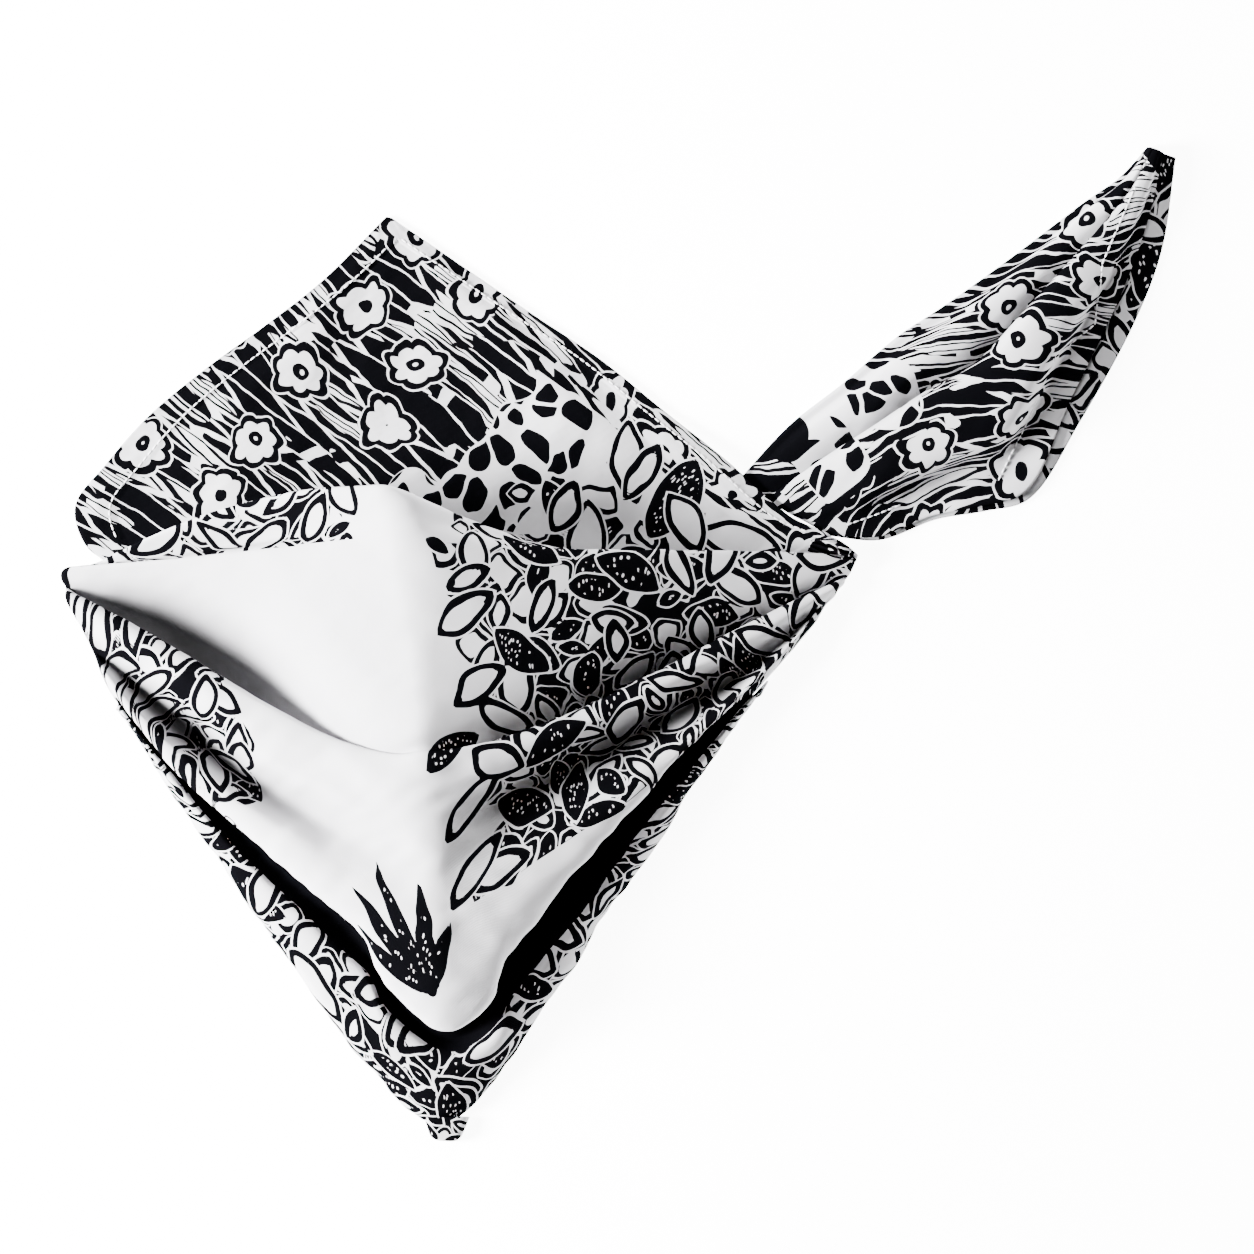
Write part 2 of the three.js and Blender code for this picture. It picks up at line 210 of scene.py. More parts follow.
def painted_shade_depth(height: Array, axis: int) -> Array:
    """How deep the cloth lies between two folds, as a share of the folds' height: the mask of the painted
    shade in the folds.

    The folds' height is the lower of the highest cloth before a place and the highest cloth after
    it, and the depth is that less the height there. The share is 1 at 0.95 of the height plus 1 mm.
    """
    before = np.maximum.accumulate(height, axis=axis)
    after = np.flip(np.maximum.accumulate(np.flip(height, axis), axis=axis), axis)
    folds = np.minimum(before, after)
    return soft_step((folds - height) / (0.95 * folds + 1))


# Meshes


DRAWN = ("leaf_0", "leaf_1", "leaf_2", "sprig")
ZONES = dict.fromkeys(("leaf_zone", "streak_zone", "berry_zone", "dark_zone", *DRAWN), FAR)
ZONES |= dict.fromkeys((f"{layer}_ink" for layer in DRAWN), 0.0)
# depth holds the share of painted shade, darker deep between the folds
ZONES |= {"leaf_share": 1.0, "depth": 0.0}


@dataclass
class ClothPatch:
    """A grid of cloth with its flat coordinates, the zones of its print and the mask of its painted shade.

    Zones are signed distances in millimetres, negative where that motif grows. ZONES names them all,
    with the value that a patch has where it doesn't say.
    """

    grid: Array
    flat: Array
    zones: dict[str, Array]

    def doubled(self, lower: Array) -> "ClothPatch":
        """The patch followed by its underside in reverse row order, with the same zones."""
        zones = {name: np.concatenate([values, values[::-1]]) for name, values in self.zones.items()}
        flat = np.concatenate([self.flat, self.flat[::-1]])
        return ClothPatch(np.concatenate([self.grid, lower[::-1]]), flat, zones)

    def to_mesh(self, name: str) -> Mesh:
        """Writes the grid as a quad mesh with a UV map and one attribute for each zone."""
        rows, columns = self.grid.shape[:2]
        index = np.arange(rows * columns).reshape(rows, columns)
        corners = [index[:-1, :-1], index[1:, :-1], index[1:, 1:], index[:-1, 1:]]
        quads = np.stack(corners, axis=-1).reshape(-1, 4)
        mesh = bpy.data.meshes.new(name)
        mesh.vertices.add(rows * columns)
        mesh.vertices.foreach_set("co", (self.grid.reshape(-1, 3) * MM).ravel())
        mesh.loops.add(quads.size)
        mesh.loops.foreach_set("vertex_index", quads.ravel())
        mesh.polygons.add(len(quads))
        mesh.polygons.foreach_set("loop_start", np.arange(0, quads.size, 4))
        mesh.update(calc_edges=True)
        mesh.validate()
        mesh.shade_smooth()
        uv = mesh.uv_layers.new(name="cloth")
        uv.data.foreach_set("uv", (self.flat.reshape(-1, 2)[quads.ravel()] * MM).ravel())
        for zone, usual in ZONES.items():
            layer = mesh.attributes.new(zone, "FLOAT", "POINT")
            values = self.zones.get(zone, np.full((rows, columns), usual))
            layer.data.foreach_set("value", values.ravel().astype(np.float32))
        return mesh


def show(name: str, mesh: Mesh, material: Material) -> Piece:
    """Adds a mesh to the scene at the origin, with its material."""
    piece = bpy.data.objects.new(name, mesh)
    bpy.context.scene.collection.objects.link(piece)
    mesh.materials.append(material)
    return piece


def thicken(piece: Piece, thickness: float) -> None:
    """Gives a middle surface its wall with Solidify, thickness in millimetres."""
    wall = piece.modifiers.new("cloth wall", "SOLIDIFY")
    wall.thickness = thickness * MM
    wall.offset = 0.0
    wall.use_even_offset = False
    wall.use_rim = True


def closed_sheet(name: str, patch: ClothPatch, wall: Array) -> Mesh:
    """A grid and its copy a wall below it, joined all round into one closed mesh."""
    lower = patch.grid.copy()
    lower[..., 2] -= wall
    mesh = patch.doubled(lower).to_mesh(name)
    rows, columns = patch.grid.shape[:2]
    upper = np.arange(rows * columns).reshape(rows, columns)
    under = (upper + rows * columns)[::-1]
    down, back = np.arange(rows - 1), np.arange(columns - 1)
    near = [upper[down, 0], upper[down + 1, 0], under[down + 1, 0], under[down, 0]]
    far = [upper[down + 1, -1], upper[down, -1], under[down, -1], under[down + 1, -1]]
    start = [upper[0, back + 1], upper[0, back], under[0, back], under[0, back + 1]]
    add_faces(mesh, np.concatenate([np.stack(side, axis=-1) for side in (near, far, start)]).tolist())
    return mesh


def add_faces(mesh: Mesh, faces: list[list[int]]) -> None:
    """Adds closing faces to a mesh through bmesh, with the flat coordinates of their corners."""
    edit = bmesh.new()
    edit.from_mesh(mesh)
    edit.verts.ensure_lookup_table()
    uv = edit.loops.layers.uv["cloth"]
    for face in faces:
        made = edit.faces.new([edit.verts[i] for i in face])
        made.smooth = True
        for loop in made.loops:
            loop[uv].uv = next(iter(loop.vert.link_loops))[uv].uv
    bmesh.ops.recalc_face_normals(edit, faces=edit.faces)
    edit.to_mesh(mesh)
    edit.free()
    mesh.update()


@dataclass(frozen=True)
class Stitches:
    """Running stitches, in millimetres. Each is a spindle: two rings of points and a point at each end."""

    pitch: float = 2.7
    size: tuple[float, float, float] = (1.25, 0.30, 0.30)
    shoulder: float = 0.55
    sides: int = 6
    lift: float = 0.05
    reach: float = 0.6

    def spindle(self) -> tuple[Array, list[tuple[int, ...]]]:
        """The points and faces of one stitch."""
        turn = np.arange(self.sides) * 2 * math.pi / self.sides
        ring = [(self.shoulder * s, math.cos(a), math.sin(a)) for s in (-1, 1) for a in turn]
        faces = []
        second, end = 1 + self.sides, 1 + 2 * self.sides
        for i in range(self.sides):
            j = (i + 1) % self.sides
            faces += [(0, 1 + j, 1 + i), (1 + i, 1 + j, second + j, second + i)]
            faces += [(second + i, second + j, end)]
        return np.array([(-1, 0, 0)] + ring + [(1, 0, 0)]) * np.array(self.size), faces

    def along_line(self, line: Array, normal: Array) -> Array:
        """The points of every stitch on one line of points with its normals, both in millimetres."""
        run = run_length(line)
        at = np.arange(self.pitch, run[-1] - self.pitch, self.pitch)

        def pick(values: Array, where: Array) -> Array:
            """Values between the line's points, at lengths along it."""
            return np.stack([np.interp(where, run, values[:, k]) for k in range(3)], axis=-1)

        up = pick(normal, at)
        up /= np.linalg.norm(up, axis=-1, keepdims=True)
        ahead = pick(line, at + self.reach) - pick(line, at - self.reach)
        ahead -= up * (ahead * up).sum(-1, keepdims=True)
        ahead /= np.linalg.norm(ahead, axis=-1, keepdims=True)
        axes = np.stack([ahead, np.cross(up, ahead), up], axis=1)
        return (pick(line, at) + up * self.lift)[:, None] + self.spindle()[0] @ axes

    def build(self, name: str, places: list[tuple[Array, Array]], thread: Material) -> Piece:
        """Sews along lines of points and normals on the cloth, as one piece."""
        points = np.concatenate([self.along_line(line, normal) for line, normal in places])
        starts = np.arange(len(points)) * points.shape[1]
        faces = [tuple(start + i for i in face) for start in starts.tolist() for face in self.spindle()[1]]
        mesh = bpy.data.meshes.new(name)
        mesh.from_pydata((points.reshape(-1, 3) * MM).tolist(), [], faces)
        mesh.update()
        mesh.shade_smooth()
        piece = show(name, mesh, thread)
        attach(piece, "root")
        return piece


# Print motifs


def lens_radius(half_length: float, half_width: float) -> float:
    """The radius of the two equal arcs that bound a lens: (a squared + b squared) / 2 b."""
    return (half_length * half_length + half_width * half_width) / (2 * half_width)


@dataclass(frozen=True)
class Leaf:
    """One drawn leaf on the flat cloth: a lens between two equal arcs, its spine a little bent."""

    at: tuple[float, float]
    length: float
    width: float
    turn: float
    inked: bool = False
    bend: float = 0.10

    def distance(self, u: Array, v: Array) -> Array:
        """Signed distance to the leaf's edge, negative inside.

        The distance to the far arc: the length of (x, |y| + offset) minus the arc's radius.
        """
        x, y = turned(u - self.at[0], v - self.at[1], self.turn)
        a, b = self.length / 2, self.width / 2
        radius = lens_radius(a, b)
        skew = y - self.bend * (1 - (x / a) ** 2) * self.width
        return np.hypot(x, np.abs(skew) + radius - b) - radius


def leaf_fields(leaves: list[Leaf], u: Array, v: Array) -> tuple[Array, Array]:
    """The nearest leaf's signed distance at each place, and 1 where that leaf is inked solid.

    The places are bent a little first, so that the leaves look cut by hand.
    """
    bend, wave, margin = 0.3, 15, 4
    bent_u = u + bend * ripples(u, v, wave, 5)
    bent_v = v + bend * ripples(u, v, wave, 6)
    nearest, inked = np.full(u.shape, FAR), np.zeros(u.shape)
    for leaf in leaves:
        reach = leaf.length / 2 + margin
        close = (np.abs(bent_u - leaf.at[0]) < reach) & (np.abs(bent_v - leaf.at[1]) < reach)
        distance = leaf.distance(bent_u[close], bent_v[close])
        better = distance < nearest[close]
        nearest[close] = np.where(better, distance, nearest[close])
        inked[close] = np.where(better, float(leaf.inked), inked[close])
    return nearest, inked


@dataclass(frozen=True)
class LeafScatter:
    """How one layer of leaves is scattered. Sizes are in millimetres, angles in degrees."""

    shortest: float
    longest: float
    tries: int
    inked_share: float
    gap: float = 0.9
    swirl: float = 75.0
    drift: float = 110.0
    spread: float = 32.0
    slimness: tuple[float, float] = (0.38, 0.54)
    discs: int = 7

    def grow(self, flat: Array, zone: Array, seed: int) -> list[Leaf]:
        """Leaves at seeded random places inside a zone, the longest first.

        Each leaf counts as a row of discs along its length, and it stays only where its discs
        keep the gap from those of every leaf that stayed before.
        """
        inside = flat[zone < 0]
        if not len(inside):
            return []
        rng = np.random.default_rng(seed)
        at = inside[rng.integers(0, len(inside), self.tries)]
        length = np.sort(rng.uniform(self.shortest, self.longest, self.tries))[::-1]
        width = length * rng.uniform(*self.slimness, self.tries)
        turn = self.drift * ripples(at[:, 0], at[:, 1], self.swirl, seed)
        turn = turn + rng.uniform(-self.spread, self.spread, self.tries)
        inked = rng.random(self.tries) < self.inked_share
        share = np.linspace(-0.42, 0.42, self.discs)
        ahead = np.stack([np.cos(np.radians(turn)), np.sin(np.radians(turn))], axis=-1)
        spine = at[:, None] + (length[:, None] * share)[..., None] * ahead[:, None]
        disc = width[:, None] / 2 * (1 - (2 * share) ** 2)
        kept: list[int] = []
        for k in range(self.tries):
            apart = np.linalg.norm(spine[k][:, None, None] - spine[kept][None], axis=-1)
            if (apart > disc[k][:, None, None] + disc[kept][None] + self.gap).all():
                kept.append(k)
        places, sizes = at.tolist(), np.stack([length, width, turn], axis=-1).tolist()
        return [Leaf(tuple(places[k]), *sizes[k], bool(inked[k])) for k in kept]


def leaf_zones(flat: Array, zone: Array, layers: tuple[LeafScatter, ...], seed: int) -> dict[str, Array]:
    """The distance and ink of up to three layers of scattered leaves, by zone name."""
    zones = {}
    for k, layer in enumerate(layers):
        leaves = layer.grow(flat, zone, seed + k)
        zones[f"leaf_{k}"], zones[f"leaf_{k}_ink"] = leaf_fields(leaves, flat[..., 0], flat[..., 1])
    return zones


# Materials


Socket = bpy.types.NodeSocket
Value = Socket | float
Colour = tuple[float, float, float, float]


class Wiring:
    """Adds nodes to a tree and wires them as they are made."""

    def __init__(self, tree: bpy.types.NodeTree) -> None:
        """Keeps the tree that the nodes go into."""
        self.tree = tree

    def node(self, kind: str, **settings: object) -> bpy.types.Node:
        """Adds a node and sets its properties."""
        made = self.tree.nodes.new(kind)
        for name, value in settings.items():
            setattr(made, name, value)
        return made

    def feed(self, socket: Socket, value: object) -> None:
        """Wires a socket into an input, or sets the input to a plain value."""
        if isinstance(value, bpy.types.NodeSocket):
            self.tree.links.new(value, socket)
        else:
            socket.default_value = value

    def fed(self, made: bpy.types.Node, *values: object) -> Socket:
        """Feeds a node's inputs in order, and gives its first output."""
        for socket, value in zip(made.inputs, values):
            self.feed(socket, value)
        return made.outputs[0]

    def put(self, node: bpy.types.Node, **values: object) -> None:
        """Feeds a node's inputs by name, with a low line for each space."""
        for name, value in values.items():
            self.feed(node.inputs[name.replace("_", " ")], value)

    def math(self, operation: str, a: Value, b: Value = 0.0, c: Value = 0.0) -> Socket:
        """One Math node."""
        return self.fed(self.node("ShaderNodeMath", operation=operation), a, b, c)

    def times(self, a: Value, b: Value) -> Socket:
        """The product of two numbers."""
        return self.math("MULTIPLY", a, b)

    def minus(self, a: Value, b: Value) -> Socket:
        """The first number less the second."""
        return self.math("SUBTRACT", a, b)

    def line(self, value: Socket, slope: Value, start: Value) -> Socket:
        """A number times a slope, plus a start."""
        return self.math("MULTIPLY_ADD", value, slope, start)

    def past(self, value: Socket, limit: Value) -> Socket:
        """1 where a number is over a limit."""
        return self.math("GREATER_THAN", value, limit)

    def within(self, value: Socket, limit: Value) -> Socket:
        """1 where a number is under a limit."""
        return self.math("LESS_THAN", value, limit)

    def vector(self, operation: str, a: object, b: object = (0.0, 0.0, 0.0)) -> Socket:
        """One Vector Math node."""
        return self.fed(self.node("ShaderNodeVectorMath", operation=operation), a, b)

    def scaled(self, vector: Socket, scale: float) -> Socket:
        """A vector times a number."""
        result = self.vector("SCALE", vector)
        result.node.inputs["Scale"].default_value = scale
        return result

    def in_cells(self, flat: Socket, length: float, width: float) -> Socket:
        """Flat coordinates counted in cells of a length and a width."""
        return self.vector("MULTIPLY", flat, (1 / length, 1 / width, 0.0))

    def turned(self, flat: Socket, angle: Value) -> Socket:
        """Flat coordinates turned by an angle in radians."""
        made = self.node("ShaderNodeVectorRotate", rotation_type="Z_AXIS")
        self.put(made, Vector=flat, Angle=angle)
        return made.outputs[0]

    def parts(self, vector: Socket) -> tuple[Socket, ...]:
        """The three numbers of a vector."""
        made = self.node("ShaderNodeSeparateXYZ")
        self.feed(made.inputs[0], vector)
        return tuple(made.outputs)

    def attribute(self, name: str) -> Socket:
        """A number attribute of the piece."""
        return self.node("ShaderNodeAttribute", attribute_name=name).outputs["Fac"]

    def noise(self, vector: Socket, wave: float, detail: float, colour: bool = False) -> Socket:
        """Plain noise of a wavelength, from 0 to 1, as a number or three."""
        made = self.node("ShaderNodeTexNoise", noise_dimensions="2D")
        self.put(made, Vector=vector, Scale=1 / wave, Detail=detail)
        return made.outputs["Color" if colour else "Fac"]

    def wobble(self, flat: Socket, wave: float, reach: float) -> Socket:
        """Bends flat coordinates by noise, as a hand-cut block does."""
        centred = self.vector("SUBTRACT", self.noise(flat, wave, 1.0, colour=True), (0.5, 0.5, 0.5))
        return self.vector("ADD", flat, self.scaled(centred, reach * 2))

    def cells(self, vector: Socket, randomness: float, edges: bool = False) -> bpy.types.Node:
        """Voronoi cells of unit size, or the distance to their edges."""
        feature = "DISTANCE_TO_EDGE" if edges else "F1"
        made = self.node("ShaderNodeTexVoronoi", voronoi_dimensions="2D", feature=feature)
        self.put(made, Vector=vector, Scale=1.0, Randomness=randomness)
        return made

    def over(self, below: Socket, ink: Value, cover: Socket) -> Socket:
        """Lays ink over what is below where cover is 1."""
        return self.math("ADD", self.times(below, self.minus(1.0, cover)), self.times(ink, cover))

    def mixed(self, share: Socket, below: object, above: Colour) -> Socket:
        """A colour between two others: the first at a share of 0, the second at 1."""
        made = self.node("ShaderNodeMix", data_type="RGBA")
        for number, value in ((0, share), (6, below), (7, above)):
            self.feed(made.inputs[number], value)
        return made.outputs[2]


def new_material(name: str) -> tuple[Material, Wiring]:
    """A material that uses nodes, and the wiring for them."""
    material = bpy.data.materials.new(name)
    material.use_nodes = True
    return material, Wiring(material.node_tree)


@dataclass(frozen=True)
class ReedLayer:
    """One size of reed. Its cells' length and width are in millimetres, the rest are shares."""

    length: float
    width: float
    gap: float
    hollow_from: float
    wall: float = 0.14
    jitter: float = 0.95


@dataclass(frozen=True)
class DaisyLayer:
    """Daisies, at most one in each cell. Sizes are in millimetres, petals is a count, the rest are shares."""

    cell: float = 30.0
    jitter: float = 0.45
    petals: int = 7
    radius: float = 10.6
    least: float = 0.88
    spread: float = 0.25
    petal: float = 0.16
    empty: float = 0.40
    inset: float = 5.0
    cover: float = 0.7
    rim: float = 2.3
    eye: float = 3.1
    glint: float = 1.0


@dataclass(frozen=True)
class LeafLayer:
    """Leaves, at most one in each cell. Sizes are in millimetres, angles in radians."""

    cell_length: float
    cell_width: float
    shift: float
    half_length: float
    half_width: float
    heading: float
    spread: float
    gap: float = 0.6
    outline: float = 1.6
    inked_share: float = 0.30
    blend: float = 1.2
    jitter: float = 0.8
    swell: float = 2.0


@dataclass(frozen=True)
class PrintedCotton:
    """Plain-weave cotton with a block print: outlined leaves, reed streaks, daisies and seeds."""

    ground: Colour = (0.50, 0.494, 0.512, 1.0)
    ink: Colour = (0.0012, 0.0012, 0.0016, 1.0)
    roughness: float = 0.86
    # share of the ink colour painted into the deepest folds as shade
    painted_shade: float = 0.86
    thread_pitch: float = 0.55
    bump_strength: float = 0.55
    bump_height: float = 0.00012
    outlines: tuple[float, ...] = (2.0, 2.1, 2.3, 2.4)
    margin: float = 0.7
    mark_inset: float = 1.8
    thicket_wave: float = 16.0
    thicket_inset: float = 3.0
    fine_reeds: ReedLayer = ReedLayer(40.0, 3.9, 0.13, 0.62)
    broad_reeds: ReedLayer = ReedLayer(48.0, 6.2, 0.07, 0.88)
    daisy: DaisyLayer = DaisyLayer()
    pebbles: LeafLayer = LeafLayer(15.0, 13.0, 51.3, 8.0, 5.6, 0.9, 3.0)
    seed_heads: LeafLayer = LeafLayer(12.0, 9.5, 3.1, 6.2, 3.6, 0.8, 2.6)

    def build(self, name: str) -> Material:
        """Makes the material's nodes, from the flat coordinates to the surface."""
        material, w = new_material(name)
        w.tree.nodes.clear()
        flat = w.scaled(w.node("ShaderNodeUVMap", uv_map="cloth").outputs[0], 1 / MM)
        fine = w.wobble(w.wobble(flat, 26.0, 5.0), 7.0, 1.1)
        ink = self.streaks(w, flat)
        for layer in (self.daisies, self.seeds, self.thicket, self.pebble_leaves):
            ink = layer(w, fine, ink)
        for layer, outline in zip(DRAWN, self.outlines):
            ink = self.drawn_leaves(w, fine, layer, outline, ink)
        ink = w.over(ink, 1.0, w.within(w.attribute("dark_zone"), 0.0))
        self.surface(w, flat, ink)
        return material

    def streaks(self, w: Wiring, flat: Socket) -> Socket:
        """Reed streaks: long stretched cells, most inked, with thin white lines between them."""
        bent = w.wobble(w.wobble(flat, 60.0, 5.0), 8.0, 0.7)
        fine, broad = (self.reeds(w, flat, bent, layer) for layer in (self.fine_reeds, self.broad_reeds))
        where_broad = w.past(w.noise(w.in_cells(bent, 46.0, 15.0), 1.0, 1.0), 0.49)
        zone = w.within(w.attribute("streak_zone"), 0.0)
        return w.times(w.over(fine, broad, where_broad), zone)

    def reeds(self, w: Wiring, flat: Socket, bent: Socket, layer: ReedLayer) -> Socket:
        """One size of reed: ink inside each cell, a white gap round it, and some cells hollow."""
        cells = w.in_cells(bent, layer.length, layer.width)
        edge = w.cells(cells, layer.jitter, edges=True).outputs["Distance"]
        chance, _, _ = w.parts(w.cells(cells, layer.jitter).outputs["Color"])
        width = w.line(w.noise(flat, 11.0, 2.0), layer.gap, layer.gap * 0.2)
        heart = w.past(edge, w.math("ADD", width, layer.wall))
        return w.minus(w.past(edge, width), w.times(w.past(chance, layer.hollow_from), heart))

    def daisies(self, w: Wiring, flat: Socket, below: Socket) -> Socket:
        """Round-petalled daisies: the edge radius swells seven times round, with a black eye."""
        daisy = self.daisy
        scaled = w.scaled(flat, 1 / daisy.cell)
        cell = w.cells(scaled, daisy.jitter)
        local = w.vector("SUBTRACT", scaled, cell.outputs["Position"])
        x, y, _ = w.parts(local)
        chance, size, _ = w.parts(cell.outputs["Color"])
        radius = w.times(w.vector("LENGTH", local).node.outputs["Value"], daisy.cell)
        petals = w.math("ABSOLUTE", w.math("COSINE", w.times(w.math("ARCTAN2", y, x), daisy.petals / 2)))
        reach = w.times(w.line(size, daisy.spread, daisy.least), daisy.radius)
        distance = w.minus(radius, w.times(reach, w.line(petals, daisy.petal, 1 - daisy.petal)))
        here = w.times(w.past(chance, daisy.empty), w.within(w.attribute("streak_zone"), -daisy.inset))
        rim = w.times(w.within(distance, 0.0), w.past(distance, -daisy.rim))
        eye = w.minus(w.within(radius, daisy.eye), w.within(radius, daisy.glint))
        return w.over(below, w.math("MAXIMUM", rim, eye), w.times(w.within(distance, daisy.cover), here))

    def seeds(self, w: Wiring, flat: Socket, below: Socket) -> Socket:
        """Small solid seed heads in the band between the reeds and the leaves."""
        zone = w.attribute("berry_zone")
        distance = w.math("MAXIMUM", self.leaf_distance(w, flat, self.seed_heads, 1.0)[0], zone)
        return w.over(below, w.within(distance, 0.0), w.within(zone, self.seed_heads.gap))

    def leaf_distance(self, w: Wiring, flat: Socket, layer: LeafLayer, share: Value) -> tuple[Socket, Socket]:
        """Signed distance to the leaf of a cell, and the cell's random number for its filling.

        The leaf is the lens between two arcs, turned by the cell's own random angle and cut where
        the cell ends. Cells whose other random number is over the share stay empty.
        """
        scaled = w.in_cells(w.turned(flat, layer.heading), layer.cell_length, layer.cell_width)
        scaled = w.vector("ADD", scaled, (layer.shift, layer.shift * 0.37, 0.0))
        cell = w.cells(scaled, layer.jitter)
        edge = w.times(w.cells(scaled, layer.jitter, edges=True).outputs["Distance"], layer.cell_width)
        local = w.vector("SUBTRACT", scaled, cell.outputs["Position"])
        local = w.vector("MULTIPLY", local, (layer.cell_length, layer.cell_width, 0.0))
        chance, swell, fill = w.parts(cell.outputs["Color"])
        x, y, _ = w.parts(w.turned(local, w.line(chance, layer.spread, -layer.spread / 2)))
        radius = lens_radius(layer.half_length, layer.half_width)
        far = w.math("ADD", w.math("ABSOLUTE", y), radius - layer.half_width)
        span = w.math("SQRT", w.math("ADD", w.times(x, x), w.times(far, far)))
        distance = w.minus(span, w.line(swell, layer.swell, radius - 0.8))
        distance = w.math("SMOOTH_MAX", distance, w.minus(layer.gap, edge), layer.blend)
        empty = w.past(w.math("FRACT", w.times(swell, 7.3)), share)
        return w.line(empty, FAR, distance), fill

    def speckles(self, w: Wiring, flat: Socket) -> Socket:
        """Short white marks inside inked leaves: 1 on a mark."""
        cell = w.cells(w.in_cells(flat, 1.5, 2.9), 1.0)
        chance, _, _ = w.parts(cell.outputs["Color"])
        return w.times(w.within(cell.outputs["Distance"], 0.22), w.past(chance, 0.48))

    def leaf_ink(self, w: Wiring, flat: Socket, distance: Socket, inked: Socket, outline: float) -> Socket:
        """An outline, and inside it either bare cloth or solid ink with white marks."""
        width = w.line(w.noise(flat, 9.0, 1.0), outline * 0.7, outline * 0.65)
        heart = w.within(distance, w.times(width, -1.0))
        hollow = w.times(heart, w.minus(1.0, inked))
        marks = w.times(w.times(self.speckles(w, flat), w.within(distance, -self.mark_inset)), inked)
        return w.math("MAXIMUM", w.minus(w.minus(w.within(distance, 0.0), hollow), marks), 0.0)

    def thicket(self, w: Wiring, flat: Socket, below: Socket) -> Socket:
        """Solid ink in patches behind the dense leaves."""
        patch = w.past(w.noise(flat, self.thicket_wave, 1.0), 0.38)
        dense = w.past(w.attribute("leaf_share"), 0.8)
        inside = w.within(w.attribute("leaf_zone"), -self.thicket_inset)
        return w.over(below, 1.0, w.times(patch, w.times(dense, inside)))

    def pebble_leaves(self, w: Wiring, flat: Socket, below: Socket) -> Socket:
        """The small leaves of one cell layer, closed by an outline where their zone ends."""
        layer = self.pebbles
        distance, fill = self.leaf_distance(w, flat, layer, w.attribute("leaf_share"))
        distance = w.math("SMOOTH_MAX", distance, w.attribute("leaf_zone"), layer.blend)
        ink = self.leaf_ink(w, flat, distance, w.within(fill, layer.inked_share), layer.outline)
        return w.over(below, ink, w.within(distance, layer.gap))

    def drawn_leaves(self, w: Wiring, flat: Socket, layer: str, outline: float, below: Socket) -> Socket:
        """The leaves whose distances and ink an attribute pair of the piece holds."""
        distance = w.attribute(layer)
        ink = self.leaf_ink(w, flat, distance, w.past(w.attribute(f"{layer}_ink"), 0.5), outline)
        return w.over(below, ink, w.within(distance, self.margin))

    def surface(self, w: Wiring, flat: Socket, ink: Socket) -> None:
        """Mixes ground and ink, paints shade into the depths of the folds, and adds the weave as fine bump.
        """
        colour = w.mixed(w.math("MINIMUM", ink, 1.0), self.ground, self.ink)
        # painted shade: the ground darkens towards the ink colour where the cloth lies deep between folds
        colour = w.mixed(w.times(w.attribute("depth"), self.painted_shade), colour, self.ink)
        threads = [w.math("SINE", w.times(at, 2 * math.pi / self.thread_pitch)) for at in w.parts(flat)[:2]]
        height = w.line(w.noise(flat, 2.2, 4.0), 1.6, w.times(*threads))
        bump = w.node("ShaderNodeBump")
        w.put(bump, Strength=self.bump_strength, Distance=self.bump_height, Height=height)
        shader = w.node("ShaderNodeBsdfPrincipled")
        w.put(shader, Base_Color=colour, Normal=bump.outputs[0])
        w.put(shader, Roughness=self.roughness, Specular_IOR_Level=0.0)
        w.feed(w.node("ShaderNodeOutputMaterial").inputs[0], shader.outputs[0])


@dataclass(frozen=True)
class Thread:
    """White sewing thread, a little uneven in tone."""

    light: Colour = (0.82, 0.81, 0.83, 1.0)
    dark: Colour = (0.62, 0.61, 0.63, 1.0)
    roughness: float = 0.7
    wave: float = 0.0004

    def build(self, name: str) -> Material:
        """Makes the thread's nodes."""
        material, w = new_material(name)
        place = w.node("ShaderNodeTexCoord").outputs["Object"]
        tone = w.mixed(w.noise(place, self.wave, 2.0), self.light, self.dark)
        w.put(w.tree.nodes["Principled BSDF"], Base_Color=tone, Roughness=self.roughness)
        return material


@dataclass(frozen=True)
class PaleSurface:
    """The white sweep that the wrap lies on: diffuse white that also glows a little."""

    colour: Colour = (0.9, 0.9, 0.9, 1.0)
    glow: float = 10.0

    def build(self, name: str) -> Material:
        """Makes the surface's nodes."""
        material, w = new_material(name)
        shader = w.tree.nodes["Principled BSDF"]
        w.put(shader, Base_Color=self.colour, Roughness=1.0, Specular_IOR_Level=0.0)
        w.put(shader, Emission_Color=(1.0, 1.0, 1.0, 1.0), Emission_Strength=self.glow)
        return material


# Front drape


Station = tuple[float, float, float]


@dataclass(frozen=True)
class FoldLine:
    """One fold line of the drape, by stations of x, y and height. Each side runs towards the ridge."""

    name: str
    steps: int
    ridge: Station
    left: tuple[Station, ...]
    right: tuple[Station, ...]
    blunt: float = 0.0


